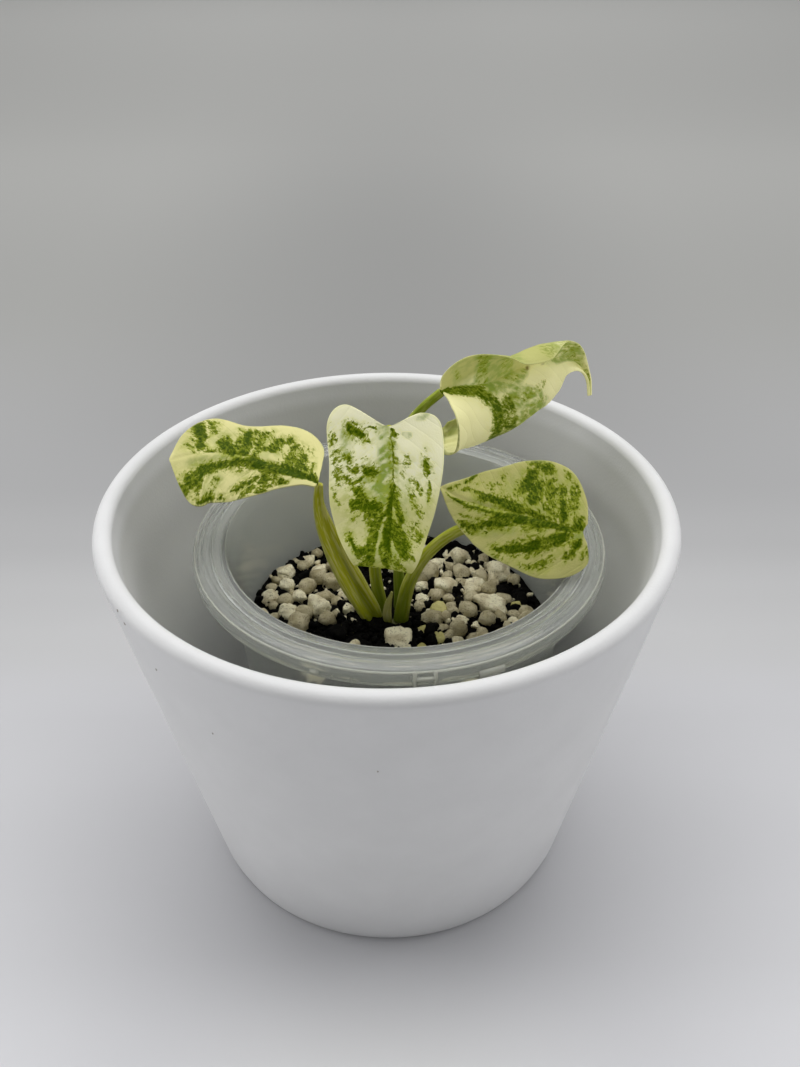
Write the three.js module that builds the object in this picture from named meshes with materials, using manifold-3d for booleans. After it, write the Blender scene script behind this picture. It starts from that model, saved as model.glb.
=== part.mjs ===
// A young variegated monstera in a clear nursery cup, standing in a matte white outer pot.
// Millimetres, +Z up. The origin is the middle of the outer pot's footprint, and the camera side is -Y.
import * as THREE from "three";
import { mergeVertices } from "three/addons/utils/BufferGeometryUtils.js";
import Module from "manifold-3d";

const wasm = await Module();
wasm.setup();

// Gap kept between solids that touch on the real plant
const SEAT_GAP = 0.3;

// Outer pot: a straight cone with a thick rolled rim and a foot ring
const POT = { height: 108, topRadius: 72.5, baseRadius: 51.5, wall: 5.2, floor: 5, rimRound: 2.2 };
const FOOT = { outer: 50, inner: 42, recess: 1.2, round: 1.5 };

// Clear cup: a 106 mm nursery cup, off the pot's middle as it was set down
const CUP = { x: 3, y: 3.2, height: 90.7, wall: 0.9, baseRadius: 38, lipRadius: 44.6, rimRadius: 53.2 };
const CUP_FOOT = { width: 3.5, lift: 1.8 };
const CUP_RIM = { bandWidth: 4.1, ridge: 0.8, skirtDrop: 5, shoulderDrop: 2.2 };
const DRAIN = { count: 8, radius: 2.8, circle: 26 };
const CUP_Z = POT.floor + SEAT_GAP;

// Potting mix: its surface is heaped a little towards the far left
const MIX = { top: 65, slopeX: -0.045, slopeY: 0.03, lump: 0.9 };

// Crown: the short buried stem that the roots and leaf stalks grow from
const CROWN = { x: 0.2, y: 6.3, radius: 6.2, bottom: 48, top: 65 };
const ROOT = { count: 5, thick: 1.5, thin: 0.7, reach: 22, depth: 36 };

const BLADE = 0.6; // leaf thickness

// Leaf stalks. Each has points along its middle, with its width and thickness at every point.
// `flat` is the direction that its wide side faces.
const STALKS = {
  petiole_left: {
    points: [
      [-4, 5, 64.8], [-5.2, 4.8, 68], [-9.4, 4.6, 77.5], [-13.4, 4, 88], [-16.2, 2.8, 98],
      [-17.3, 1.6, 105.6], [-16.9, 0.2, 111.9],
    ],
    widths: [5, 5.6, 6, 5.4, 4.2, 2.8, 2.1],
    depths: [3.2, 3.2, 2.6, 2.2, 2, 1.9, 1.9],
    flat: [0.35, -1, 0.35],
  },
  petiole_centre: {
    points: [
      [-1.2, 7.8, 64.8], [-2.6, 8.2, 71], [-3.6, 8.8, 80], [-2, 9, 96], [-0.6, 7.4, 112],
      [0.3, 3.2, 123.4], [0.6, -0.4, 127.6], [0.7, -2.2, 129],
    ],
    widths: [3.6, 3.5, 3.2, 2.8, 2.4, 2.2, 2, 2],
    depths: [3.2, 3.1, 2.9, 2.6, 2.3, 2.1, 2, 1.9],
    flat: [0, -1, 0.3],
  },
  petiole_right: {
    points: [
      [3.4, 4.6, 64.8], [4, 4.2, 70], [5.7, 3.2, 79], [10.1, 1.6, 89.4], [18.2, -0.8, 98.7],
      [30, -4.4, 103.6], [41, -9, 105], [46.4, -11.2, 105],
    ],
    widths: [4.2, 4, 3.7, 3.3, 3, 2.6, 2.3, 2.1],
    depths: [3.6, 3.6, 3.5, 3.3, 3, 2.5, 2.2, 2],
    flat: [-0.3, -1, 0.3],
  },
  petiole_curled: {
    points: [
      [3, 9.8, 64.8], [3, 10.6, 72], [2.4, 13.2, 92], [3, 13.6, 112], [5.7, 12.8, 122],
      [9.2, 12.4, 127], [13.5, 12.5, 131],
    ],
    widths: [3.2, 3.1, 2.7, 2.4, 2.4, 2.4, 2.3],
    depths: [3, 2.9, 2.6, 2.4, 2.3, 2.2, 2.1],
    flat: [0.2, -1, 0.3],
  },
  cataphyll: {
    points: [[-0.2, 3.8, 64.8], [-0.4, 3.2, 68], [0, 2.8, 72], [1, 2.4, 76.4]],
    widths: [2.4, 2.6, 2, 0.6],
    depths: [1.2, 1.1, 0.9, 0.5],
    flat: [-0.2, -1, 0.2],
  },
};

// Leaves. `rib` runs from the stalk to the tip, and `side` points from the rib to the second edge.
// A station is [place along the rib, first edge out, first edge along, second edge out, second edge along].
// For each half, `bend` holds [angle at the rib in degrees, curl per mm near the rib, reach of that curl in mm,
// curl per mm beyond it]. Positive angles and curls lift the half towards the leaf's upper face. `bendAtTip` is
// what that bend changes to along a leaf that is rolled tighter towards its tip.
const LEAVES = {
  leaf_left: {
    rib: [
      [-17.1, 0, 112.6], [-21.2, 1.4, 113.9], [-27.5, 3.1, 115.8], [-36.2, 4.6, 118],
      [-45.2, 4.2, 118.8], [-53.4, 2, 118.3],
    ],
    side: [-0.13, -0.88, -0.46],
    stations: [
      [0, 4, 1.2, 1.5, 0.2],
      [3, 10.4, 3.2, 2.5, 3.6],
      [8, 13.8, 8, 6, 9],
      [14, 12.8, 13.6, 10.2, 14.5],
      [20, 9.4, 20.6, 12.6, 20.5],
      [26.5, 10.8, 27.8, 13.2, 28],
      [33, 6.4, 33, 11.8, 34.6],
      [38, 0.4, 38, 0.4, 38],
    ],
    bend: [[-6, -0.008, 30, 0], [-4, -0.01, 30, 0]],
  },
  leaf_centre: {
    rib: [
      [0.7, -3.2, 130.2], [1.5, -5.9, 124.3], [1.6, -8.6, 118.5], [1.2, -11.6, 112.4],
      [0.6, -14.6, 106], [0.1, -16.6, 101.4], [-0.3, -16.2, 98.4], [-0.6, -12.6, 97],
    ],
    side: [1, 0, 0],
    stations: [
      [0, 3.4, -2.2, 2.2, -0.6],
      [2, 9.8, -6.4, 8, -2.2],
      [6, 14.4, -2.6, 12, 0.4],
      [12, 15.2, 9, 12, 8.4],
      [19, 15.1, 18, 10.6, 18],
      [26, 12.6, 26.4, 9, 25.5],
      [32.5, 8.4, 34.2, 7.6, 32.6],
      [36.5, 4.6, 38, 4.4, 36.8],
      [40.5, 0.4, 40.5, 0.4, 40.5],
    ],
    bend: [[8, -0.022, 30, 0], [8, -0.022, 30, 0]],
  },
  leaf_right: {
    rib: [
      [47.4, -12, 105.8], [42, -10.8, 107], [32.9, -8.7, 108.6], [23.7, -6.6, 109.8],
      [17.7, -4.5, 110.8], [13.3, -2, 112.5],
    ],
    side: [-0.3, -0.68, -0.67],
    stations: [
      [0, 2.4, -0.6, 2.4, -1.7],
      [1.5, 8, 1.2, 7.2, -3.2],
      [5, 13.8, 5.6, 11.6, 0.5],
      [10, 15.4, 11, 13.9, 7.5],
      [16, 14, 17, 12.9, 15],
      [22, 11.2, 22.5, 11.2, 22],
      [28, 8.4, 28, 7.2, 28.5],
      [33, 5.2, 33, 3, 33.2],
      [36.8, 0.4, 36.8, 0.4, 36.8],
    ],
    bend: [[-3, -0.008, 30, 0], [-3, -0.014, 30, 0]],
  },
  leaf_curled: {
    rib: [
      [13.6, 12.2, 131.6], [17.4, 15.5, 131.1], [22.9, 19, 129.8], [27.7, 22, 129.6], [32.9, 25, 130.6],
      [37.9, 28, 131.7], [43.1, 30.3, 131.7], [47.3, 31.6, 131.1], [51, 32, 128.6], [53.3, 31.2, 125.4],
      [54.1, 30, 120.9],
    ],
    side: [-0.5, 0.86, 0.1],
    stations: [
      [0, 6, -0.8, 2, -0.6],
      [1.5, 18, 0.4, 7, -0.6],
      [5, 28, 4, 13, 2.5],
      [11, 32, 12, 16, 10],
      [18, 29, 20, 16.5, 19],
      [26, 22, 27, 15, 27.5],
      [33, 14, 33, 11.5, 35],
      [40, 6, 39, 6.5, 40.5],
      [47, 1.2, 46, 1.2, 46.5],
      [53, 0.4, 53, 0.4, 53],
    ],
    bend: [[-4, -0.096, 24, -0.2], [84, 0.075, 30, 0]],
    bendAtTip: [[-30, -0.14, 16, -0.18], [84, 0.2, 30, 0]],
  },
};

// Loose pieces seen on the mix, each [x, y, across]: pale pumice, yellowish zeolite and black lava
const PUMICE = [
  [2.6, -4.6, 8.4], [-18.5, 7.5, 9], [28.5, 10, 10.5], [16.5, 19, 8], [24.5, 18.6, 7.5], [32, 25, 8.5],
  [21, 32, 8.5], [13.5, 27.5, 7], [24.6, 26, 6], [-30, 22.5, 6.5], [-24, 28.5, 5], [-20, 24.5, 6.5],
  [-29, 16, 6], [-33, 11, 6], [-25, 11.5, 6], [-12.6, 14, 6], [-28, 4.5, 7], [-34.5, 4.5, 4.5],
  [-11, 7.4, 4.5], [9.6, 18.5, 4.5], [9.6, 12.6, 5], [19.5, 4, 5], [24, 2.6, 4], [34.5, 4, 4.5],
  [2, 26, 5], [18.7, -4.6, 4.5],
];
const ZEOLITE = [[13.8, 8.2, 5.5], [36, 10.8, 4.5], [9.6, 0.4, 4], [13.6, -3.4, 4.5], [9, -7.6, 4]];
const LAVA = [
  [-24, 20, 5], [-17.6, 30.6, 5], [20, 12.2, 4.5], [32, 17.2, 5], [37.5, 16.6, 4.5], [-14, -3, 6],
];
// Pieces on the near side of the plant go round in two rows
const NEAR_ROWS = [{ radius: 18, count: 3, across: 6.5 }, { radius: 31, count: 5, across: 7 }];

const COLOURS = {
  pot: { color: 0xe4e4e2, roughness: 0.55 },
  cup: { color: 0xd5dbda, roughness: 0.2, transparent: true, opacity: 0.35 },
  mix: { color: 0x1c1a18, roughness: 0.95 },
  crown: { color: 0x6f6a3a, roughness: 0.7 },
  stalk: { color: 0x9aa03c, roughness: 0.5 },
  leaf: { color: 0xc9cf8e, roughness: 0.45 },
  pumice: { color: 0xcfc8b8, roughness: 0.95 },
  zeolite: { color: 0xbfb878, roughness: 0.9 },
  lava: { color: 0x171615, roughness: 0.9 },
};

const model = new THREE.Group();

function addMesh(name, geometry, look) {
  const mesh = new THREE.Mesh(geometry, new THREE.MeshStandardMaterial({ metalness: 0, ...COLOURS[look] }));
  mesh.name = name;
  model.add(mesh);
}

// A closed geometry with merged corners, its faces turned outwards
function welded(geometry) {
  const bare = geometry.clone();
  bare.deleteAttribute("normal");
  bare.deleteAttribute("uv");
  const merged = mergeVertices(bare, 1e-4);
  const p = merged.attributes.position;
  const index = merged.index.array;
  const kept = [];
  const [a, b, c] = [new THREE.Vector3(), new THREE.Vector3(), new THREE.Vector3()];
  let volume = 0;
  for (let i = 0; i < index.length; i += 3) {
    const [i0, i1, i2] = [index[i], index[i + 1], index[i + 2]];
    if (i0 === i1 || i1 === i2 || i2 === i0) continue;
    kept.push(i0, i1, i2);
    b.fromBufferAttribute(p, i1).cross(c.fromBufferAttribute(p, i2));
    volume += a.fromBufferAttribute(p, i0).dot(b);
  }
  if (volume < 0) kept.reverse();
  merged.setIndex(kept);
  return merged;
}

function toSolid(geometry) {
  const closed = welded(geometry);
  return new wasm.Manifold(new wasm.Mesh({
    numProp: 3,
    vertProperties: new Float32Array(closed.attributes.position.array),
    triVerts: new Uint32Array(closed.index.array),
  }));
}

function toGeometry(solid) {
  const mesh = solid.getMesh();
  const geometry = new THREE.BufferGeometry();
  geometry.setAttribute("position", new THREE.BufferAttribute(new Float32Array(mesh.vertProperties), 3));
  geometry.setIndex(new THREE.BufferAttribute(new Uint32Array(mesh.triVerts), 1));
  return geometry;
}

// A profile of [radius, height] points turned round a vertical axis at (x, y)
function turned(profile, segments, x = 0, y = 0, z = 0) {
  const points = profile.map(([r, h]) => new THREE.Vector2(Math.max(r, 0), h));
  return new THREE.LatheGeometry(points, segments).rotateX(Math.PI / 2).translate(x, y, z);
}

// Outer pot
function potGeometry() {
  const slope = (POT.topRadius - POT.baseRadius) / POT.height;
  const wallAt = (z) => POT.baseRadius + slope * z;
  const round = POT.rimRound;
  const inner = POT.topRadius - POT.wall;
  return turned([
    [0, FOOT.recess], [FOOT.inner - 0.8, FOOT.recess], [FOOT.inner, 0], [FOOT.outer, 0],
    [wallAt(FOOT.round), FOOT.round], [wallAt(POT.height - round), POT.height - round],
    [POT.topRadius - 0.3 * round, POT.height - 0.3 * round], [POT.topRadius - round, POT.height],
    [inner + round, POT.height], [inner + 0.3 * round, POT.height - 0.3 * round], [inner, POT.height - round],
    [wallAt(POT.floor + 4) - POT.wall, POT.floor + 4], [wallAt(POT.floor) - POT.wall - 3, POT.floor],
    [0, POT.floor],
  ], 56);
}
addMesh("outer_pot", potGeometry(), "pot");

// Clear cup with its wide stepped rim, foot ring and drain holes
const CUP_INSIDE = { low: CUP_FOOT.lift + CUP.wall + 0.6, high: CUP.height - CUP_RIM.ridge - 0.2 };

function cupInnerRadius(height) {
  const part = (height - CUP_INSIDE.low) / (CUP_INSIDE.high - CUP_INSIDE.low);
  return THREE.MathUtils.lerp(CUP.baseRadius - CUP.wall, CUP.lipRadius, part);
}

function cupSolid() {
  const { height: top, wall, baseRadius, lipRadius, rimRadius } = CUP;
  const { bandWidth, ridge, skirtDrop, shoulderDrop } = CUP_RIM;
  const lip = top - ridge;
  const outerRidge = lipRadius + bandWidth;
  const body = toSolid(turned([
    [0, CUP_FOOT.lift], [baseRadius - CUP_FOOT.width - 1, CUP_FOOT.lift],
    [baseRadius - CUP_FOOT.width, 0], [baseRadius, 0],
    [lipRadius + wall, lip - 1.5],
    [lipRadius + wall + 0.6, lip - wall], [rimRadius - 2.4, top - ridge - 1.1],
    [rimRadius - wall, top - shoulderDrop - 0.9], [rimRadius - wall, top - skirtDrop],
    [rimRadius, top - skirtDrop], [rimRadius - 0.1, top - shoulderDrop], [rimRadius - 1.4, top - 0.7],
    [outerRidge + 1.2, top - 0.5], [outerRidge, top], [outerRidge - 0.9, top - 0.5],
    [lipRadius, CUP_INSIDE.high],
    [baseRadius - wall, CUP_INSIDE.low], [baseRadius - wall - 1, CUP_FOOT.lift + wall],
    [0, CUP_FOOT.lift + wall],
  ], 48));
  const holes = [];
  for (let i = 0; i < DRAIN.count; i++) {
    const angle = (i / DRAIN.count) * 2 * Math.PI;
    holes.push(toSolid(new THREE.CylinderGeometry(DRAIN.radius, DRAIN.radius, 8, 10).rotateX(Math.PI / 2)
      .translate(DRAIN.circle * Math.cos(angle), DRAIN.circle * Math.sin(angle), CUP_FOOT.lift)));
  }
  return holes.reduce((solid, hole) => solid.subtract(hole), body).translate([CUP.x, CUP.y, CUP_Z]);
}
addMesh("nursery_cup", toGeometry(cupSolid()), "cup");

// A stalk: a cylinder laid along a curve, `extra` thicker on every side
function stalkGeometry({ points, widths, depths, flat }, extra = 0, steps = 14, sides = 8) {
  const curve = new THREE.CatmullRomCurve3(points.map((p) => new THREE.Vector3(...p)));
  const facing = new THREE.Vector3(...flat);
  const geometry = new THREE.CylinderGeometry(1, 1, 1, sides, steps);
  const place = geometry.attributes.position;
  const [middle, along, side, front] = [0, 1, 2, 3].map(() => new THREE.Vector3());
  const between = (values, t) => {
    const at = Math.min(t * (values.length - 1), values.length - 1.001);
    return THREE.MathUtils.lerp(values[Math.floor(at)], values[Math.floor(at) + 1], at % 1);
  };
  for (let i = 0; i < place.count; i++) {
    const t = place.getY(i) + 0.5;
    curve.getPoint(t, middle);
    curve.getTangent(t, along);
    side.crossVectors(along, facing).normalize();
    front.crossVectors(side, along);
    if (t === 0) middle.addScaledVector(along, -extra);
    if (t === 1) middle.addScaledVector(along, extra);
    middle.addScaledVector(side, place.getX(i) * (between(widths, t) / 2 + extra));
    middle.addScaledVector(front, place.getZ(i) * (between(depths, t) / 2 + extra));
    place.setXYZ(i, middle.x, middle.y, middle.z);
  }
  return geometry;
}

// Crown and roots, grown as one piece
function crownSolid(extra = 0) {
  const { x, y, radius, bottom, top } = CROWN;
  const stub = turned([
    [0, bottom - extra], [radius * 0.6 + extra, bottom - extra], [radius * 0.85 + extra, bottom + 3],
    [radius + extra, top - 5], [radius + extra, top - 1.2], [radius - 1.5 + extra, top - SEAT_GAP + extra],
    [0, top - SEAT_GAP + extra],
  ], 20, x, y);
  let solid = toSolid(stub);
  for (let i = 0; i < ROOT.count; i++) {
    const angle = ((i + 0.3) / ROOT.count) * 2 * Math.PI;
    const [dx, dy] = [Math.cos(angle), Math.sin(angle)];
    const at = (out, down) => [x + out * dx, y + out * dy, bottom + 4 - down];
    const root = {
      points: [at(1, -1), at(7, 3), at(ROOT.reach * 0.75, 12), at(ROOT.reach, ROOT.depth)],
      widths: [2 * ROOT.thick, 2 * ROOT.thick, 1.7 * ROOT.thick, 2 * ROOT.thin],
      depths: [2 * ROOT.thick, 2 * ROOT.thick, 1.7 * ROOT.thick, 2 * ROOT.thin],
      flat: [-dy, dx, 0.001],
    };
    solid = solid.add(toSolid(stalkGeometry(root, extra, 8, 6)));
  }
  return solid;
}
addMesh("crown_and_roots", toGeometry(crownSolid()), "crown");

const clearedCrown = crownSolid(SEAT_GAP);
const stalkSolids = {};
for (const [name, stalk] of Object.entries(STALKS)) {
  let solid = toSolid(stalkGeometry(stalk)).subtract(clearedCrown);
  for (const other of Object.keys(stalkSolids)) {
    solid = solid.subtract(toSolid(stalkGeometry(STALKS[other], SEAT_GAP + 0.05)));
  }
  stalkSolids[name] = solid;
}

// Leaf blade: a thin box whose grid is laid along the rib, with its edges at the stations
function spline(values, t) {
  const last = values.length - 1;
  const i = Math.min(Math.floor(t * last), last - 1);
  const f = t * last - i;
  const [p0, p1, p2, p3] = [-1, 0, 1, 2].map((k) => values[THREE.MathUtils.clamp(i + k, 0, last)]);
  const [v1, v2] = [(p2 - p0) / 2, (p3 - p1) / 2];
  return p1 + f * v1 + f * f * (3 * (p2 - p1) - 2 * v1 - v2) + f * f * f * (2 * (p1 - p2) + v1 + v2);
}

function ribFrames(rib, side, count = 60) {
  const curve = new THREE.CatmullRomCurve3(rib.map((p) => new THREE.Vector3(...p)));
  curve.arcLengthDivisions = 400;
  const length = curve.getLength();
  const frames = [];
  const across = new THREE.Vector3(...side).normalize();
  for (let i = 0; i <= count; i++) {
    const along = curve.getTangentAt(i / count);
    across.addScaledVector(along, -across.dot(along)).normalize();
    const up = new THREE.Vector3().crossVectors(along, across);
    frames.push({ at: curve.getPointAt(i / count), along, across: across.clone(), up });
  }
  return { length, frames };
}

// Place on a half that starts at an angle to the side direction and curls as it goes out
function bent([angle, curl, reach, outerCurl], out) {
  const steps = 16;
  let turn = THREE.MathUtils.degToRad(angle);
  let [across, up] = [0, 0];
  for (let i = 0; i < steps; i++) {
    const bendNow = ((i + 0.5) / steps) * out < reach ? curl : outerCurl;
    turn += (bendNow * out) / steps / 2;
    across += (Math.cos(turn) * out) / steps;
    up += (Math.sin(turn) * out) / steps;
    turn += (bendNow * out) / steps / 2;
  }
  return [across, up];
}

function leafGeometry({ rib, side, stations, bend, bendAtTip = bend }, extra = 0, rows = 16, cols = 5) {
  const { length, frames } = ribFrames(rib, side);
  const ribSpan = stations[stations.length - 1][0];
  const column = (k) => stations.map((station) => station[k]);
  const surface = (u, v) => {
    const half = u < 0 ? 0 : 1;
    const s = Math.abs(u);
    const start = spline(column(0), v);
    const out = spline(column(1 + 2 * half), v) * s;
    const alongRib = (start + (spline(column(2 + 2 * half), v) - start) * s ** 1.4) * (length / ribSpan);
    const onRib = THREE.MathUtils.clamp(alongRib, 0, length);
    const place = (onRib / length) * (frames.length - 1);
    const lower = Math.min(Math.floor(place), frames.length - 2);
    const mixed = (key) => frames[lower][key].clone().lerp(frames[lower + 1][key], place - lower);
    const at = mixed("at").addScaledVector(mixed("along"), alongRib - onRib);
    const toTip = onRib / length;
    const bendHere = bend[half].map((value, i) => THREE.MathUtils.lerp(value, bendAtTip[half][i], toTip));
    const [across, up] = bent(bendHere, out);
    const outward = half ? 1 : -1;
    return at.addScaledVector(mixed("across"), outward * across).addScaledVector(mixed("up"), up);
  };
  const geometry = new THREE.BoxGeometry(2, 1, 1, 2 * cols, rows, 1);
  const place = geometry.attributes.position;
  const step = 0.004;
  for (let i = 0; i < place.count; i++) {
    const u = place.getX(i);
    const v = place.getY(i) + 0.5;
    const here = surface(u, v);
    const du = surface(Math.min(u + step, 1), v).sub(surface(Math.max(u - step, -1), v));
    const dv = surface(u, Math.min(v + step, 1)).sub(surface(u, Math.max(v - step, 0)));
    const normal = du.cross(dv).normalize();
    here.addScaledVector(normal, place.getZ(i) * (BLADE + 2 * extra));
    place.setXYZ(i, here.x, here.y, here.z);
  }
  return geometry;
}

// Each stalk ends just under its own leaf
for (const leaf of Object.keys(LEAVES)) {
  const stalk = leaf.replace("leaf", "petiole");
  const clearance = toSolid(leafGeometry(LEAVES[leaf], SEAT_GAP));
  stalkSolids[stalk] = stalkSolids[stalk].subtract(clearance);
}
for (const [name, solid] of Object.entries(stalkSolids)) addMesh(name, toGeometry(solid), "stalk");
for (const [name, leaf] of Object.entries(LEAVES)) addMesh(name, welded(leafGeometry(leaf)), "leaf");

// Height of the mix at a place on its surface
function mixHeight(x, y) {
  const lumps = Math.sin(0.55 * x + 1.3) * Math.cos(0.62 * y) + 0.6 * Math.sin(1.1 * x + 0.9 * y);
  return MIX.top + MIX.slopeX * x + MIX.slopeY * y + 0.5 * MIX.lump * lumps;
}

// A loose piece: a rounded lump with flattened, uneven sides, `extra` larger all round
function lumpGeometry(x, y, across, seed, extra = 0) {
  const geometry = across > 5 ? new THREE.IcosahedronGeometry(1, 1) : new THREE.DodecahedronGeometry(1);
  const place = geometry.attributes.position;
  const point = new THREE.Vector3();
  for (let i = 0; i < place.count; i++) {
    point.fromBufferAttribute(place, i);
    const sides = Math.sin(3.1 * point.x + seed) * Math.sin(2.7 * point.y + 2 * seed);
    const wave = sides + Math.sin(3.7 * point.z + 3 * seed);
    point.multiplyScalar(0.9 + 0.05 * wave);
    point.z *= 0.8;
    point.multiplyScalar(across / 2 + extra);
    place.setXYZ(i, point.x, point.y, point.z);
  }
  return geometry.rotateZ(seed * 2.4).translate(x, y, mixHeight(x, y) + 0.12 * across);
}

// The dent that a loose piece lies in: a coarse lump just large enough to hold it
function dentGeometry(x, y, across) {
  const flatsToCorners = 0.795;
  const radius = (across / 2 + SEAT_GAP) / flatsToCorners;
  const dent = new THREE.IcosahedronGeometry(radius, 0).scale(1, 1, 0.8);
  return dent.rotateZ(x).translate(x, y, mixHeight(x, y) + 0.12 * across);
}

// Pieces keep clear of the cup, the crown and the pieces placed before them
function settle(list) {
  const placed = [];
  for (const piece of list) {
    let [x, y, across] = piece.at;
    const fromMiddle = Math.hypot(x - CUP.x, y - CUP.y);
    const inside = cupInnerRadius(MIX.top - CUP_Z) - across / 2 - 2 * SEAT_GAP;
    if (fromMiddle > inside) {
      x = CUP.x + ((x - CUP.x) * inside) / fromMiddle;
      y = CUP.y + ((y - CUP.y) * inside) / fromMiddle;
    }
    across = Math.min(across, 2 * (Math.hypot(x - CROWN.x, y - CROWN.y) - CROWN.radius - 2 * SEAT_GAP));
    for (const other of placed) {
      const free = Math.hypot(x - other.x, y - other.y) - other.across / 2 - SEAT_GAP;
      across = Math.min(across, 2 * free);
    }
    placed.push({ ...piece, x, y, across });
  }
  return placed;
}

const nearPieces = [];
NEAR_ROWS.forEach(({ radius, count, across }, row) => {
  for (let i = 0; i < count; i++) {
    const angle = Math.PI * (1.12 + (0.76 * (i + 0.5)) / count + 0.05 * row);
    nearPieces.push([CUP.x + radius * Math.cos(angle), CUP.y + radius * Math.sin(angle), across]);
  }
});
const loose = settle([
  ...PUMICE.map((at) => ({ at, look: "pumice" })),
  ...ZEOLITE.map((at) => ({ at, look: "zeolite" })),
  ...LAVA.map((at) => ({ at, look: "lava" })),
  ...nearPieces.map((at, i) => ({ at, look: i % 3 === 1 ? "lava" : "pumice" })),
]);

// Potting mix: fills the cup up to its uneven surface, with room for the crown, roots and sunk pieces
function mixSolid() {
  const rings = 8;
  const floorHeight = CUP_FOOT.lift + CUP.wall + SEAT_GAP;
  const insideRadius = (h) => cupInnerRadius(h) - SEAT_GAP - 0.1;
  const topHeight = MIX.top - CUP_Z;
  const profile = [
    [0, floorHeight], [CUP.baseRadius - CUP.wall - 2, floorHeight],
    [insideRadius(floorHeight + 2), floorHeight + 2],
  ];
  for (let i = rings; i >= 0; i--) profile.push([(insideRadius(topHeight - 2) * i) / rings, topHeight]);
  const geometry = turned(profile, 30, CUP.x, CUP.y, CUP_Z);
  const place = geometry.attributes.position;
  for (let i = 0; i < place.count; i++) {
    if (place.getZ(i) > MIX.top - 1) place.setZ(i, mixHeight(place.getX(i), place.getY(i)));
  }
  let solid = toSolid(geometry).subtract(clearedCrown);
  for (const stalk of Object.values(STALKS)) solid = solid.subtract(toSolid(stalkGeometry(stalk, SEAT_GAP)));
  for (const { x, y, across } of loose) solid = solid.subtract(toSolid(dentGeometry(x, y, across)));
  return solid;
}
addMesh("potting_mix", toGeometry(mixSolid()), "mix");

const count = {};
loose.forEach(({ x, y, across, look }, i) => {
  count[look] = (count[look] ?? 0) + 1;
  addMesh(`${look}_${String(count[look]).padStart(2, "0")}`, welded(lumpGeometry(x, y, across, i)), look);
});

export default model;
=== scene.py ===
# %% [markdown]
# # A young variegated monstera in a clear cup and a white pot
# A construction model already holds every piece at its real size and place. This lesson remakes each piece
# with a finer surface and a finish of its own: four marbled leaves, their stalks, the gritty mix, the clear
# nursery cup and the matte white pot. Lengths are typed in millimetres and become metres when a mesh is
# made, and the side that faces the camera is -Y.

# %% The frame and the tools
import math
import random

import bmesh
import bpy
import numpy as np
from mathutils import Matrix, Vector, noise


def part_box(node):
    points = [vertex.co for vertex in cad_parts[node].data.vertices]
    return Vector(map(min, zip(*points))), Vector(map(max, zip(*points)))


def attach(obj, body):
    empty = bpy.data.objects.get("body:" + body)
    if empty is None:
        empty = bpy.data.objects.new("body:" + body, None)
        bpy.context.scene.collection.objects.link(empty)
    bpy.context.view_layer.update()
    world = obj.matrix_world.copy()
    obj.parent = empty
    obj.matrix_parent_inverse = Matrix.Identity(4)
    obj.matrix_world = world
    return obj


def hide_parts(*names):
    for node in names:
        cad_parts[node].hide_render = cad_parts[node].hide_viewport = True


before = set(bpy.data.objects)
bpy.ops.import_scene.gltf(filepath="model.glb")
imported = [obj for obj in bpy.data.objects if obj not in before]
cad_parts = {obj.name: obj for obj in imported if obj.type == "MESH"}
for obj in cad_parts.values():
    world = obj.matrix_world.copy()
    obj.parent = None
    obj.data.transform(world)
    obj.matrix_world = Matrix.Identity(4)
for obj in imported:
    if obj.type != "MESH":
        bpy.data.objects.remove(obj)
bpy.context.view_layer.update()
MM = 0.001
print("nodes in the frame:", len(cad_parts))

# %% [markdown]
# Every finished piece goes through one helper. It turns the bmesh into an object at the origin, smooths its
# shading, gives it its materials, hangs it on the body it rides on and hides the plain solids that it
# stands for. Doing this in one place means that no piece can be forgotten.

# %% A finished piece
def mesh_from(bm, name):
    mesh = bpy.data.meshes.new(name)
    bm.to_mesh(mesh)
    bm.free()
    return mesh


def add_piece(bm, name, materials, nodes=()):
    mesh = mesh_from(bm, name)
    mesh.polygons.foreach_set("use_smooth", [True] * len(mesh.polygons))
    for material in materials:
        mesh.materials.append(material)
    piece = bpy.data.objects.new(name, mesh)
    bpy.context.scene.collection.objects.link(piece)
    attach(piece, "root")
    if nodes:
        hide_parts(*nodes)
    print(f"{name}: {len(mesh.polygons)} faces")
    return piece


# %% Moving the corners of a bmesh that is still a plain grid or ball
def corners_of(bm):
    return np.array([corner.co for corner in bm.verts])


def place_corners(bm, points):
    for corner, point in zip(bm.verts, points):
        corner.co = point


# %% Round things: a profile of (radius, height) turned about an upright axis
MERGE_WITHIN, ROUND_STEPS = 1e-6, 240


def turned(profile, steps, centre=(0, 0, 0)):
    bm = bmesh.new()
    x, y, z = centre
    corners = [bm.verts.new(((x + radius) * MM, y * MM, (z + height) * MM)) for radius, height in profile]
    edges = [bm.edges.new(pair) for pair in zip(corners, corners[1:])]
    bmesh.ops.spin(bm, geom=corners + edges, cent=Vector(centre) * MM, axis=(0, 0, 1), angle=math.tau,
                   steps=steps, use_merge=True)
    bmesh.ops.remove_doubles(bm, verts=bm.verts, dist=MERGE_WITHIN)
    bmesh.ops.recalc_face_normals(bm, faces=bm.faces)
    return bm


def arc(centre, radius, start, end, steps):
    """Points on an arc from one angle to another, in degrees, both ends included."""
    angles = [math.radians(start + (end - start) * i / steps) for i in range(steps + 1)]
    return [(centre[0] + radius * math.cos(a), centre[1] + radius * math.sin(a)) for a in angles]


# %% [markdown]
# Materials are built from nodes. Small helpers keep that readable: one adds a node and plugs values or links
# into its sockets by name, one starts a material whose plain numbers sit on the shader itself, and the
# others are short names for the nodes that are used most.

# %% Node helpers
def put(tree, socket, value):
    if isinstance(value, bpy.types.NodeSocket):
        tree.links.new(value, socket)
    else:
        socket.default_value = value


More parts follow.
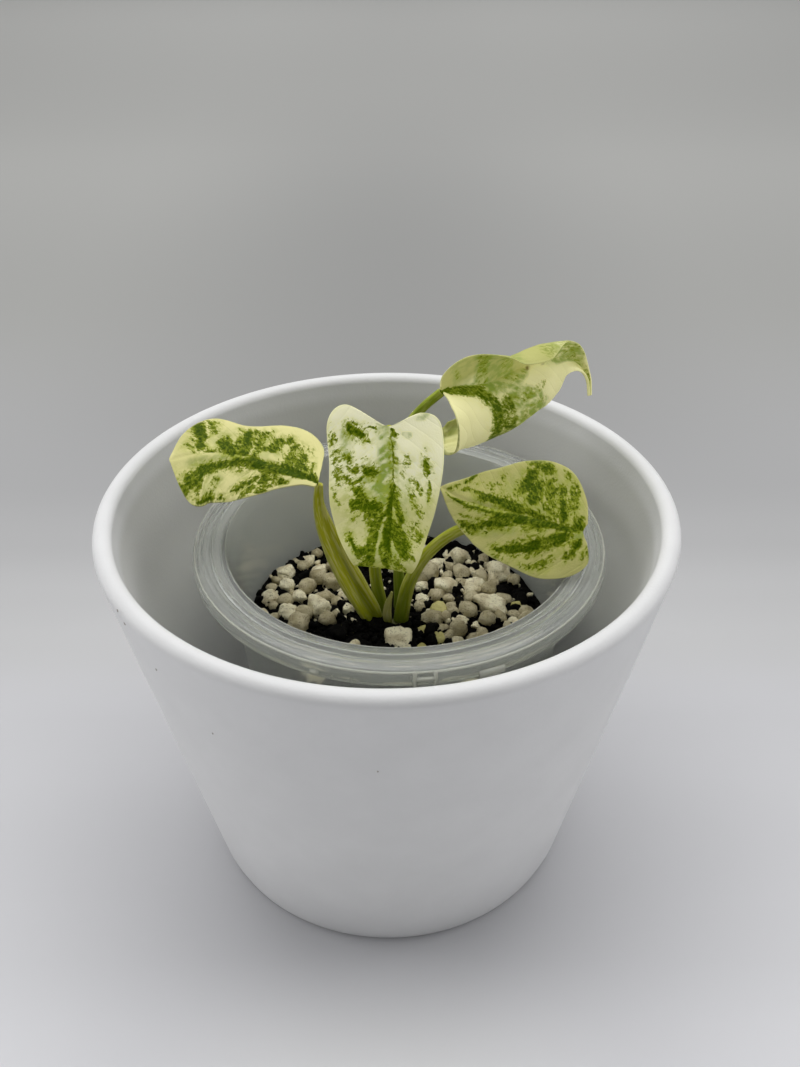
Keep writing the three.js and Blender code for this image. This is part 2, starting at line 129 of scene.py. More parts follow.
def node(tree, kind, inputs=(), **settings):
    made = tree.nodes.new("ShaderNode" + kind)
    for name, value in settings.items():
        if name[0].islower():
            setattr(made, name, value)
    for name, value in settings.items():
        if name[0].isupper():
            put(tree, made.inputs[name.replace("_", " ")], value)
    for socket, value in zip(made.inputs, inputs):
        put(tree, socket, value)
    return made


def maths(tree, operation, *values, clamp=False):
    return node(tree, "Math", values, operation=operation, use_clamp=clamp).outputs[0]


def times(tree, *values, clamp=False):
    return maths(tree, "MULTIPLY", *values, clamp=clamp)


def ramp(tree, value, low, high, to_low=0.0, to_high=1.0, smooth=True):
    kind = "SMOOTHSTEP" if smooth else "LINEAR"
    return node(tree, "MapRange", (value, low, high, to_low, to_high), interpolation_type=kind).outputs[0]


def blend(tree, factor, first, second):
    mix = tree.nodes.new("ShaderNodeMix")
    mix.data_type = "RGBA"
    put(tree, mix.inputs[0], factor)
    for socket, value in ((mix.inputs[6], first), (mix.inputs[7], second)):
        put(tree, socket, value if isinstance(value, bpy.types.NodeSocket) else (*value, 1.0))
    return mix.outputs[2]


def attribute(tree, name, output="Fac"):
    return node(tree, "Attribute", attribute_name=name).outputs[output]


def place_of(tree):
    """The place of each point on the piece, in metres."""
    return node(tree, "TexCoord").outputs["Object"]


def new_material(name, **plain):
    material = bpy.data.materials.new(name)
    material.use_nodes = True
    tree = material.node_tree
    shader = tree.nodes["Principled BSDF"]
    for socket, value in plain.items():
        shader.inputs[socket.replace("_", " ")].default_value = value
    return material, tree, shader


def bumped(tree, shader, height, distance):
    """Tilts the shader's normal by a height from 0 to 1 that stands for this many millimetres."""
    bump = node(tree, "Bump", Strength=1.0, Distance=distance * MM, Height=height)
    tree.links.new(bump.outputs[0], shader.inputs["Normal"])


# %% [markdown]
# Four effects are used by more than one finish, so each is a node group: a cloudy grain, scattered flecks,
# the broken marbling of a variegated leaf, and the lines of its side veins. A group only gives out values,
# and each material decides what they colour.

# %% Group helper
def new_group(name, inputs, outputs):
    group = bpy.data.node_groups.new(name, "ShaderNodeTree")
    for label, kind, value in inputs:
        socket = group.interface.new_socket(label, in_out="INPUT", socket_type="NodeSocket" + kind)
        if value is not None:
            socket.default_value = value
    for label, kind in outputs:
        group.interface.new_socket(label, in_out="OUTPUT", socket_type="NodeSocket" + kind)
    start = group.nodes.new("NodeGroupInput")
    end = group.nodes.new("NodeGroupOutput")
    return group, start.outputs, end.inputs


def use(tree, group, **values):
    placed = tree.nodes.new("ShaderNodeGroup")
    placed.node_tree = group
    for name, value in values.items():
        put(tree, placed.inputs[name.replace("_", " ")], value)
    return placed.outputs


# %% Group: cloudy grain, even from 0 to 1, with spots of a given size in millimetres
grain, inside, out = new_group(
    "cloudy grain", [("Vector", "Vector", None), ("Size", "Float", 1.0), ("Detail", "Float", 3.0)],
    [("Value", "Float")])
grain_scale = maths(grain, "DIVIDE", 1 / MM, inside["Size"])
grain_noise = node(grain, "TexNoise", Vector=inside["Vector"], Scale=grain_scale, Detail=inside["Detail"])
put(grain, out["Value"], ramp(grain, grain_noise.outputs[0], 0.28, 0.72, smooth=False))


def cloudy(tree, place, size, detail):
    return use(tree, grain, Vector=place, Size=size, Detail=detail)["Value"]


# %% Group: scattered flecks. Share is how many of the cells hold one, Radius its size within a cell
flecks, inside, out = new_group(
    "scattered flecks", [("Vector", "Vector", None), ("Size", "Float", 1.0), ("Radius", "Float", 0.3),
                         ("Share", "Float", 0.3)], [("Mask", "Float")])
fleck_cells = node(flecks, "TexVoronoi", Vector=inside["Vector"],
                   Scale=maths(flecks, "DIVIDE", 1 / MM, inside["Size"]))
fleck_luck = node(flecks, "SeparateColor", Color=fleck_cells.outputs["Color"]).outputs[0]
fleck_here = maths(flecks, "LESS_THAN", fleck_luck, inside["Share"])
fleck_near = maths(flecks, "SUBTRACT", inside["Radius"], fleck_cells.outputs["Distance"])
put(flecks, out["Mask"], times(flecks, fleck_here, ramp(flecks, fleck_near, 0.0, 0.12)))

# %% [markdown]
# The camera repeats the angle of the picture: it looks down at 35 degrees from a third of a metre away. The
# place and angles come from fitting the ellipses of the pot's rim and foot and of the cup's rim.

# %% Camera
CAMERA_PLACE = (2.2, -220.4, 250.6)
LOOK_DOWN, CAMERA_TURN, CAMERA_ROLL = 34.83, 0.26, -0.13
LENS = 35.43


def add_camera():
    data = bpy.data.cameras.new("camera")
    data.lens = LENS
    data.clip_start = 0.01
    camera = bpy.data.objects.new("camera", data)
    turn = Matrix.Rotation(math.radians(-CAMERA_TURN), 4, "Z")
    tilt = Matrix.Rotation(math.radians(90 - LOOK_DOWN), 4, "X")
    roll = Matrix.Rotation(math.radians(CAMERA_ROLL), 4, "Z")
    camera.matrix_world = Matrix.Translation(Vector(CAMERA_PLACE) * MM) @ turn @ tilt @ roll
    bpy.context.scene.collection.objects.link(camera)
    bpy.context.scene.camera = camera


add_camera()

# %% [markdown]
# The light is plain and soft: one very large panel overhead, a little behind the plant, so that rims and
# leaf tops are bright and the pot's near side is grey, a weaker one far behind, and two weaker ones at the
# sides that brighten the pot's left and right. A dim grey world fills the rest. The lights don't show
# themselves in any view.

# %% Lights: the world's grey, then each panel's place and size in metres and its power in watts
WORLD_GREY = 0.183
PANELS = {"panel_overhead": ((0.0, 0.3, 1.3), (1.5, 1.2), 15.1),
          "panel_back": ((0.0, 1.5, 0.7), (1.8, 1.0), 2.15),
          "panel_left": ((-1.2, 0.0, 0.45), (0.9, 0.9), 3.9),
          "panel_right": ((1.2, 0.0, 0.45), (0.9, 0.9), 3.2)}


def add_panel(name, place, size, power):
    data = bpy.data.lights.new(name, "AREA")
    data.shape = "RECTANGLE"
    data.size, data.size_y = size
    data.energy = power
    panel = bpy.data.objects.new(name, data)
    panel.location = place
    panel.rotation_euler = (-Vector(place)).to_track_quat("-Z", "Y").to_euler()
    panel.visible_camera = False
    bpy.context.scene.collection.objects.link(panel)


def add_world():
    world = bpy.data.worlds.new("soft grey")
    world.use_nodes = True
    back = world.node_tree.nodes["Background"]
    back.inputs["Color"].default_value = (0.98, 0.99, 1.0, 1.0)
    back.inputs["Strength"].default_value = WORLD_GREY
    bpy.context.scene.world = world


add_world()
for panel_name, (place, size, power) in PANELS.items():
    add_panel(panel_name, place, size, power)
bpy.context.scene.view_settings.view_transform = "Standard"

# %% [markdown]
# The floor is one flat sheet with a paper-like finish. It runs from near white at the front to a mid grey
# far behind the pot, and that fall of the light is painted into its tone along Y with a slow ramp. Two soft
# patches are painted light and shade too: in the middle the sheet is painted a little darker behind the
# pot, a painted shadow, and a little lighter just in front of it. The rest of the shadow under the pot
# comes from the lamps.

# %% Floor: painted light as (place along Y in metres, tone, share of blue in it), and the two patches
FLOOR_PAINTED_LIGHT = [(-0.30, 0.80, 1.03), (-0.085, 0.75, 1.03), (-0.05, 0.68, 1.03), (0.0, 0.64, 1.03),
               (0.04, 0.60, 1.03), (0.07, 0.56, 1.01), (0.10, 0.52, 1.01), (0.135, 0.455, 1.01),
               (0.18, 0.42, 1.01), (0.39, 0.39, 0.97), (0.75, 0.46, 0.97), (2.0, 0.85, 0.97)]
PAINTED_SHADOW_BEHIND, PAINTED_LIGHT_BEFORE = (0.31, 0.31, 0.305), (0.95, 0.95, 0.95)
FLOOR_HALF = 4


def floor_material():
    material, tree, shader = new_material("pale floor", Roughness=0.8, Specular_IOR_Level=0.2)
    place = place_of(tree)
    parts = node(tree, "SeparateXYZ", Vector=place).outputs
    y, sideways = parts[1], maths(tree, "ABSOLUTE", parts[0])
    first, last = FLOOR_PAINTED_LIGHT[0][0], FLOOR_PAINTED_LIGHT[-1][0]
    # The tone along Y is painted light: it stands for the light falling off away from the front.
    painted_light_ramp = node(tree, "ValToRGB", Fac=ramp(tree, y, first, last, smooth=False))
    painted_light_ramp.color_ramp.interpolation = "EASE"
    stops = painted_light_ramp.color_ramp.elements
    while len(stops) < len(FLOOR_PAINTED_LIGHT):
        stops.new(0.5)
    for stop, (at, painted_tone, blue) in zip(stops, FLOOR_PAINTED_LIGHT):
        stop.position = (at - first) / (last - first)
        stop.color = (painted_tone, painted_tone, painted_tone * blue, 1)
    # Painted shadow: a darker patch in the middle behind the pot.
    behind = times(tree, ramp(tree, y, 0.12, 0.25), ramp(tree, sideways, 0.0, 0.22, 0.8, 0.0))
    behind = times(tree, behind, ramp(tree, y, 1.0, 0.35, 0.1, 1.0))
    # Painted light: a lighter patch in the middle just in front of the pot.
    before = times(tree, ramp(tree, y, -0.05, -0.1), ramp(tree, sideways, 0.0, 0.07, 1.0, 0.0))
    before = times(tree, before, ramp(tree, y, -0.21, -0.12))
    painted_tone = blend(tree, behind, painted_light_ramp.outputs[0], PAINTED_SHADOW_BEHIND)
    put(tree, shader.inputs["Base Color"], blend(tree, before, painted_tone, PAINTED_LIGHT_BEFORE))
    return material


def add_floor():
    bm = bmesh.new()
    bmesh.ops.create_grid(bm, x_segments=1, y_segments=1, size=FLOOR_HALF)
    mesh = mesh_from(bm, "floor")
    mesh.materials.append(floor_material())
    floor = bpy.data.objects.new("floor", mesh)
    bpy.context.scene.collection.objects.link(floor)


add_floor()

# %% [markdown]
# ## The outer pot
# A matte white cover pot, slightly conical, with a thick rolled rim. On a lathe-like shape a spun profile is
# the right tool: the rim's roundness is two arcs in the profile. The glaze is not perfectly even, so a faint
# cloudy grain moves its colour and gloss, and a few pin-head specks sit in it. The inside has painted shade
# and light: it is painted darker near the rim and paler low down.

# %% Outer pot: its measures and its finish
POT_HEIGHT, POT_TOP, POT_BASE, POT_WALL, POT_FLOOR = 108, 72.5, 51.5, 5.2, 5
POT_SLOPE = (POT_TOP - POT_BASE) / POT_HEIGHT
RIM_ROUND, INNER_ROUND = 2.3, 4
# Heights of the painted shade and light inside the pot: where the darker band starts, where it is full, and
# where the inside is palest.
PAINTED_INSIDE_FROM, PAINTED_INSIDE_FULL, PAINTED_INSIDE_PALEST = 104, 100, 60


def pot_material():
    material, tree, shader = new_material("matte white glaze", Roughness=0.5, Specular_IOR_Level=0.4)
    place = place_of(tree)
    cloud = cloudy(tree, place, 14.0, 4.0)
    fine = cloudy(tree, place, 0.7, 2.0)
    speck = use(tree, flecks, Vector=place, Size=16.0, Radius=0.02, Share=0.3)["Mask"]
    parts = node(tree, "SeparateXYZ", Vector=place).outputs
    squares = [times(tree, part, part) for part in parts[:2]]
    out_from_middle = maths(tree, "SQRT", maths(tree, "ADD", *squares))
    middle_of_wall = maths(tree, "MULTIPLY_ADD", parts[2], POT_SLOPE, (POT_BASE - POT_WALL / 2) * MM)
    inward = maths(tree, "SUBTRACT", middle_of_wall, out_from_middle)
    # Painted shade and light inside the pot: darker near the rim, paler low down.
    below_rim = ramp(tree, parts[2], PAINTED_INSIDE_FROM * MM, PAINTED_INSIDE_FULL * MM)
    painted_inside_mask = times(tree, ramp(tree, inward, 0.0, 1.5 * MM), below_rim)
    white = blend(tree, cloud, (0.80, 0.80, 0.80), (0.84, 0.84, 0.84))
    height = ramp(tree, parts[2], PAINTED_INSIDE_PALEST * MM, PAINTED_INSIDE_FROM * MM)
    inner = blend(tree, height, (0.92, 0.92, 0.90), (0.66, 0.66, 0.64))
    white = blend(tree, painted_inside_mask, white, inner)
    put(tree, shader.inputs["Base Color"], blend(tree, speck, white, (0.42, 0.36, 0.30)))
    put(tree, shader.inputs["Roughness"], ramp(tree, cloud, 0, 1, 0.46, 0.56))
    bumped(tree, shader, fine, 0.02)
    return material


# %% Outer pot: shape
def pot_wall(height):
    return POT_BASE + POT_SLOPE * height


def pot_profile():
    outer = pot_wall(POT_HEIGHT - RIM_ROUND)
    inner = POT_TOP - POT_WALL
    rim_z = POT_HEIGHT - RIM_ROUND
    lean = math.degrees(math.atan(POT_SLOPE))
    profile = [(0, 1.2), (40.5, 1.2)]
    profile += arc((41.2, 0.4), 0.8, 90, 20, 3) + [(42.3, 0), (49.6, 0)]
    profile += arc((49.7, 1.7), 1.7, -90, -lean, 6)
    profile += [(pot_wall(h), h) for h in (4, 12, 25, 40, 60, 80, 95, 103)]
    profile += arc((outer - RIM_ROUND + 0.05, rim_z), RIM_ROUND, -lean, 90, 10)
    profile += arc((inner + RIM_ROUND, rim_z), RIM_ROUND, 90, 180, 10)
    profile += [(pot_wall(h) - POT_WALL, h) for h in (100, 80, 60, 40, 20, 12)]
    corner = POT_FLOOR + INNER_ROUND
    profile += arc((pot_wall(corner) - POT_WALL - INNER_ROUND, corner), INNER_ROUND, 0, -90, 6)
    profile += [(20, POT_FLOOR), (0, POT_FLOOR)]
    return profile


add_piece(turned(pot_profile(), ROUND_STEPS), "outer_pot_glazed", [pot_material()], ["outer_pot"])

# %% [markdown]
# A used pot has small marks: a chip under the rim and a few stuck crumbs. They are flattened beads set on
# the wall by their angle and height.

# %% Outer pot: small marks as (angle, height, radius)
POT_MARKS = [(-142.4, 104.5, 0.5), (-143.5, 107.2, 0.3), (-136.0, 95.2, 0.28), (-124.6, 82.6, 0.22),
             (-91.6, 83.4, 0.2)]
MARK_THICKNESS, MARK_TALLNESS = 0.12, 1.4


def pot_marks():
    bm = bmesh.new()
    for angle, height, radius in POT_MARKS:
        turn = Matrix.Rotation(math.radians(angle), 4, "Z")
        place = Matrix.Translation((pot_wall(height) * MM, 0, height * MM))
        size = Matrix.Diagonal((MARK_THICKNESS * MM, radius * MM, MARK_TALLNESS * radius * MM, 1))
        bmesh.ops.create_icosphere(bm, subdivisions=2, radius=1, matrix=turn @ place @ size)
    return bm


mark_finish = new_material("stuck crumb", Base_Color=(0.40, 0.37, 0.33, 1), Roughness=0.7)[0]
add_piece(pot_marks(), "pot_marks", [mark_finish])

# %% [markdown]
# ## The clear nursery cup
# Thin clear plastic with a wide rim that is pressed in steps. Its rings catch the light as bright lines, so
# they are modelled in the profile. The plastic is handled and slightly scuffed, so it is a little frosted.

# %% Cup: finish
PLASTIC_IOR = 1.4


def cup_material():
    material, tree, shader = new_material("frosted clear plastic", Base_Color=(0.90, 0.92, 0.88, 1),
                                          Roughness=0.1, IOR=PLASTIC_IOR, Transmission_Weight=0.85)
    place = place_of(tree)
    scuffs = cloudy(tree, place, 9.0, 2.0)
    put(tree, shader.inputs["Roughness"], ramp(tree, scuffs, 0, 1, 0.09, 0.15))
    return material


# %% Cup: shape
CUP_X, CUP_Y, CUP_Z = CUP_CENTRE = 3, 3.2, 5.3
CUP_BASE, CUP_LIP, CUP_WALL = 38, 44.6, 0.9
INSIDE_LOW, INSIDE_HIGH = 3.3, 89.7


def cup_inner_radius(height):
    """Inner radius of the cup at a height above its foot."""
    part = (height - INSIDE_LOW) / (INSIDE_HIGH - INSIDE_LOW)
    return CUP_BASE - CUP_WALL + (CUP_LIP - CUP_BASE + CUP_WALL) * part


def cup_profile():
    outside = [(0, 1.8), (33.0, 1.8)] + arc((33.3, 1.1), 0.7, 90, 0, 3) + [(34.3, 0.2), (34.9, 0)]
    outside += [(37.4, 0)] + arc((37.5, 0.6), 0.6, -90, 0, 3)
    outside += [(cup_inner_radius(h) + CUP_WALL, h) for h in (6, 20, 40, 60, 75, 84)]
    outside += [(45.6, 88.0), (45.9, 88.7), (46.5, 89.05), (50.4, 88.95), (51.5, 88.6), (52.15, 88.0)]
    outside += [(52.35, 87.3), (52.35, 85.85), (52.7, 85.6)]
    rim = [(53.1, 85.75), (53.2, 86.1), (53.2, 87.6), (53.05, 88.3), (52.7, 88.9), (52.2, 89.35)]
    rim += [(51.7, 89.6)]
    rings = [(51.35, 89.6), (51.1, 89.85), (50.75, 89.85), (50.5, 89.6), (50.1, 89.6), (49.85, 89.95)]
    rings += [(49.45, 89.95), (49.2, 89.65), (48.8, 89.7), (48.45, 90.55), (48.1, 90.7), (47.7, 90.6)]
    rings += [(47.4, 89.95), (47.0, 89.8), (45.3, 89.8), (44.85, 89.6), (44.6, 89.1)]
    wall = [(cup_inner_radius(h), h) for h in (84, 75, 60, 40, 20, 6)]
    return outside + rim + rings + wall + [(36.9, 3.2), (36.2, 2.8), (0, 2.7)]


cup = turned(cup_profile(), ROUND_STEPS, CUP_CENTRE)
add_piece(cup, "clear_cup", [cup_material()], ["nursery_cup"])

# %% [markdown]
# Where clear plastic ends in an edge, light that runs inside the sheet comes out and the edge glows. Four
# thin rings of a brighter, less clear plastic are painted highlights that stand for those lit edges. On the
# near side the rim also has a small snap of two pegs and a bar, a flat tab and three drops left from
# moulding, in the same brighter finish.

# %% Cup: painted highlights along the rim's edges, each ring as (radius, height, thickness)
HIGHLIGHT_RINGS = {"cup_outer_edge_highlight": (52.45, 88.95, 0.3), "cup_inner_edge_highlight": (48.1, 90.55, 0.13),
             "cup_lip_edge_highlight": (44.8, 89.6, 0.11), "cup_lower_edge_highlight": (52.95, 86.1, 0.24)}
EDGE_STEPS = 200
# A brighter, less clear plastic: a painted highlight.
painted_highlight_plastic = new_material("painted highlight plastic", Base_Color=(0.84, 0.85, 0.76, 1), Roughness=0.2,
                        IOR=PLASTIC_IOR, Transmission_Weight=0.55)[0]
for ring_name, (radius, height, thick) in HIGHLIGHT_RINGS.items():
    ring = turned(arc((radius, height), thick, 0, 360, 10), EDGE_STEPS, CUP_CENTRE)
    add_piece(ring, ring_name, [painted_highlight_plastic])


# %% Cup: snap, tab and drops on the rim, each as (angle, out from the middle, height, half sizes)
RIM_DETAILS = [("peg", -86.6, 53.3, 93.3, (0.55, 0.55, 1.9)), ("peg", -81.6, 53.3, 93.0, (0.55, 0.55, 1.9)),
               ("bar", -84.1, 53.2, 93.0, (0.45, 2.2, 0.35)), ("bar", -67.5, 53.4, 91.9, (0.4, 3.1, 0.9)),
               ("drop", -111.3, 52.8, 92.2, (0.9, 1.3, 0.8)), ("drop", -106.8, 52.8, 91.6, (0.45, 0.45, 1)),
               ("drop", -101.9, 52.8, 91.6, (0.45, 0.45, 1))]


def rim_details():
    bm = bmesh.new()
    for kind, angle, out, height, half in RIM_DETAILS:
        turn = Matrix.Rotation(math.radians(angle), 4, "Z")
        place = Matrix.Translation((CUP_X * MM, CUP_Y * MM, height * MM)) @ turn
        place = place @ Matrix.Translation((out * MM, 0, 0)) @ Matrix.Diagonal((*[v * MM for v in half], 1))
        if kind == "drop":
            bmesh.ops.create_icosphere(bm, subdivisions=2, radius=1, matrix=place)
        elif kind == "peg":
            bmesh.ops.create_cone(bm, cap_ends=True, segments=16, radius1=1, radius2=0.8, depth=2,
                                  matrix=place)
        else:
            bmesh.ops.create_cube(bm, size=2, matrix=place)
    return bm


# The snap, tab and drops wear the same brighter finish, a painted highlight.
add_piece(rim_details(), "cup_rim_details", [painted_highlight_plastic])

# %% [markdown]
# ## Leaf blades
# A leaf is one grown sheet. Its shape here is a square grid of points laid along the midrib: `u` runs from
# the first margin to the second and `v` from the stalk to the tip. The midrib is a smooth curve in space,
# stations along it say how far out each margin lies, and every half bends or rolls away from the midrib.
# The same few numbers shaped the construction model, so the fine blade lies in its place. Only the rolled
# leaf and the tips of the left and middle leaf were shaped a little further here, after a closer look at
# them.

# %% Smooth curve through points, spaced by the root of each gap so that it doesn't overshoot
def unit(rows, least=0.0):
    return rows / (np.linalg.norm(rows, axis=1)[:, None] + least)


def curve_point(points, t):
    points = np.asarray(points, float)
    last = len(points) - 1
    run = np.vstack([2 * points[0] - points[1], points, 2 * points[-1] - points[-2]])
    t = np.atleast_1d(t) * last
    i = np.clip(np.floor(t).astype(int), 0, last - 1)
    f = (t - i)[:, None]
    p0, p1, p2, p3 = (run[i + k] for k in range(4))
    gaps = ((p0, p1), (p1, p2), (p2, p3))
    d0, d1, d2 = (np.sqrt(np.linalg.norm(b - a, axis=1))[:, None] for a, b in gaps)
    m1 = ((p1 - p0) / d0 - (p2 - p0) / (d0 + d1) + (p2 - p1) / d1) * d1
    m2 = ((p2 - p1) / d1 - (p3 - p1) / (d1 + d2) + (p3 - p2) / d2) * d1
    return p1 + m1 * f + (3 * (p2 - p1) - 2 * m1 - m2) * f ** 2 + (2 * (p1 - p2) + m1 + m2) * f ** 3


def curve_way(points, t, step):
    """Direction of the curve at each t."""
    return unit(curve_point(points, np.clip(t + step, 0, 1)) - curve_point(points, np.clip(t - step, 0, 1)))


def spline(values, t):
    values = np.asarray(values, float)
    last = len(values) - 1
    i = np.clip(np.floor(t * last).astype(int), 0, last - 1)
    f = t * last - i
    p0, p1, p2, p3 = (values[np.clip(i + k, 0, last)] for k in (-1, 0, 1, 2))
    m1, m2 = (p2 - p0) / 2, (p3 - p1) / 2
    return p1 + f * m1 + f ** 2 * (3 * (p2 - p1) - 2 * m1 - m2) + f ** 3 * (2 * (p1 - p2) + m1 + m2)


# %% Frames along a midrib: place, direction, side direction and upward direction at even steps
def rib_frames(rib, side, count=60):
    fine = np.linspace(0, 1, 401)
    line = curve_point(rib, fine)
    arc_length = np.concatenate([[0], np.cumsum(np.linalg.norm(np.diff(line, axis=0), axis=1))])
    even = np.interp(np.linspace(0, arc_length[-1], count + 1), arc_length, fine)
    along = curve_way(rib, even, 1e-4)
    across = np.zeros_like(along)
    now = np.array(side, float)
    for k in range(count + 1):
        now = now - now.dot(along[k]) * along[k]
        now /= np.linalg.norm(now)
        across[k] = now
    return arc_length[-1], curve_point(rib, even), along, across, np.cross(along, across)


# %% A half that leaves the midrib at an angle and curls as it goes out
def bent(angle, curl, reach, outer_curl, out, steps=16):
    turn = np.radians(angle)
    across = np.zeros_like(out)
    up = np.zeros_like(out)
    for i in range(steps):
        half_turn = np.where((i + 0.5) / steps * out < reach, curl, outer_curl) * out / steps / 2
        turn = turn + half_turn
        across += np.cos(turn) * out / steps
        up += np.sin(turn) * out / steps
        turn = turn + half_turn
    return across, up


def leaf_surface(leaf, u, v):
    """Points of the blade, with each one's distance out from the midrib and along it, in millimetres."""
    length, at, along, across, up = rib_frames(leaf["rib"], leaf["side"])
    columns = np.array(leaf["stations"], float).T
    second, s = u >= 0, np.abs(u)
    start = spline(columns[0], v)
    out = np.where(second, spline(columns[3], v), spline(columns[1], v)) * s
    edge_along = np.where(second, spline(columns[4], v), spline(columns[2], v))
    alongside = (start + (edge_along - start) * s ** 1.4) * (length / columns[0][-1])
    on_rib = np.clip(alongside, 0, length)
    place = on_rib / length * (len(at) - 1)
    low = np.clip(np.floor(place).astype(int), 0, len(at) - 2)
    part = (place - low)[:, None]
    here = [rows[low] + (rows[low + 1] - rows[low]) * part for rows in (at, along, across, up)]
    rest, tip = np.array(leaf["bend"], float), np.array(leaf.get("bend_at_tip", leaf["bend"]), float)
    blends = [(rest[h] + (tip[h] - rest[h]) * (on_rib / length)[:, None]).T for h in (0, 1)]
    sideways, upward = bent(*[np.where(second, blends[1][k], blends[0][k]) for k in range(4)], out)
    points = here[0] + here[1] * (alongside - on_rib)[:, None]
    points += here[2] * (np.where(second, 1, -1) * sideways)[:, None] + here[3] * upward[:, None]
    return points, out, alongside


# %% The four leaves
# A station is (along the rib, first margin out, along, second margin out, along). The bend of each half is
# (angle at the rib, curl, how far out that curl reaches, curl further out).
LEAVES = {
    "leaf_left": dict(
        rib=[(-17.1, 0, 112.6), (-21.2, 1.4, 113.9), (-27.5, 3.1, 115.8), (-36.2, 4.6, 118),
             (-45.2, 4.2, 118.8), (-53.4, 2, 118.3)],
        side=(-0.13, -0.88, -0.46),
        stations=[(0, 4, 1.2, 1.5, 0.2), (3, 10.4, 3.2, 2.5, 3.6), (8, 13.8, 8, 6, 9),
                  (14, 12.8, 13.6, 10.2, 14.5), (20, 9.4, 20.6, 12.6, 20.5), (26.5, 11, 27.8, 13.2, 28),
                  (33, 7.0, 33.2, 12.6, 35.6), (38, 0.4, 38, 0.4, 38)],
        bend=[(-6, -0.008, 30, 0), (-4, -0.01, 30, 0)]),
    "leaf_centre": dict(
        rib=[(0.7, -3.2, 130.2), (1.5, -5.9, 124.3), (1.6, -8.6, 118.5), (1.2, -11.6, 112.4),
             (0.6, -14.6, 106), (0.1, -16.6, 101.4), (-0.3, -16.2, 98.4), (-0.6, -12.6, 97)],
        side=(1, 0, 0),
        stations=[(0, 3.4, -2.2, 2.2, -0.6), (2, 9.8, -6.4, 8, -2.2), (6, 14.4, -2.6, 12, 0.4),
                  (12, 15.2, 9, 12, 8.4), (19, 15.1, 18, 10.6, 18), (26, 12.6, 26.4, 9, 25.5),
                  (32.5, 8.3, 34.2, 7.1, 32.8), (36.5, 4.5, 41.0, 4.1, 39.0), (38.8, 0.4, 38.8, 0.4, 38.8)],
        bend=[(8, -0.022, 30, 0), (8, -0.022, 30, 0)]),
    "leaf_right": dict(
        rib=[(47.4, -12, 105.8), (42, -10.8, 107), (32.9, -8.7, 108.6), (23.7, -6.6, 109.8),
             (17.7, -4.5, 110.8), (13.3, -2, 112.5)],
        side=(-0.3, -0.68, -0.67),
        stations=[(0, 2.4, -0.6, 2.4, -1.7), (1.5, 8, 1.2, 7.2, -3.2), (5, 13.8, 5.6, 11.6, 0.5),
                  (10, 15.4, 11, 13.9, 7.5), (16, 14, 17, 12.9, 15), (22, 11.2, 22.5, 11.2, 22),
                  (28, 8.4, 28, 7.2, 28.5), (33, 5.2, 33, 3, 33.2), (36.8, 0.4, 36.8, 0.4, 36.8)],
        bend=[(-3, -0.008, 30, 0), (-3, -0.014, 30, 0)]),
    "leaf_curled": dict(
        rib=[(13.6, 12.2, 131.6), (17.4, 15.5, 131.1), (22.9, 19, 129.8), (27.7, 22, 129.6),
             (32.9, 25, 130.6), (37.9, 28, 131.7), (43.1, 30.3, 131.7), (47.3, 31.6, 131.1), (51, 32, 128.6),
             (53.3, 31.2, 125.4), (54.1, 30, 120.9)],
        side=(-0.5, 0.86, 0.1),
        stations=[(0, 6, -0.8, 1.5, -0.6), (1.5, 18, 0.4, 4.5, -0.6), (5, 28, 4, 8.5, 2.5),
                  (11, 32, 12, 13, 10), (18, 29, 20, 16, 19), (26, 22, 27, 16, 27.5), (33, 14, 33, 9.5, 35),
                  (40, 6, 39, 5, 40.5), (47, 1.2, 46, 1.2, 46.5), (53, 0.4, 53, 0.4, 53)],
        bend=[(-4, -0.106, 24, -0.2), (84, 0.06, 30, 0)],
        bend_at_tip=[(-30, -0.14, 16, -0.18), (84, 0.2, 30, 0)]),
}
print("leaves:", ", ".join(LEAVES))
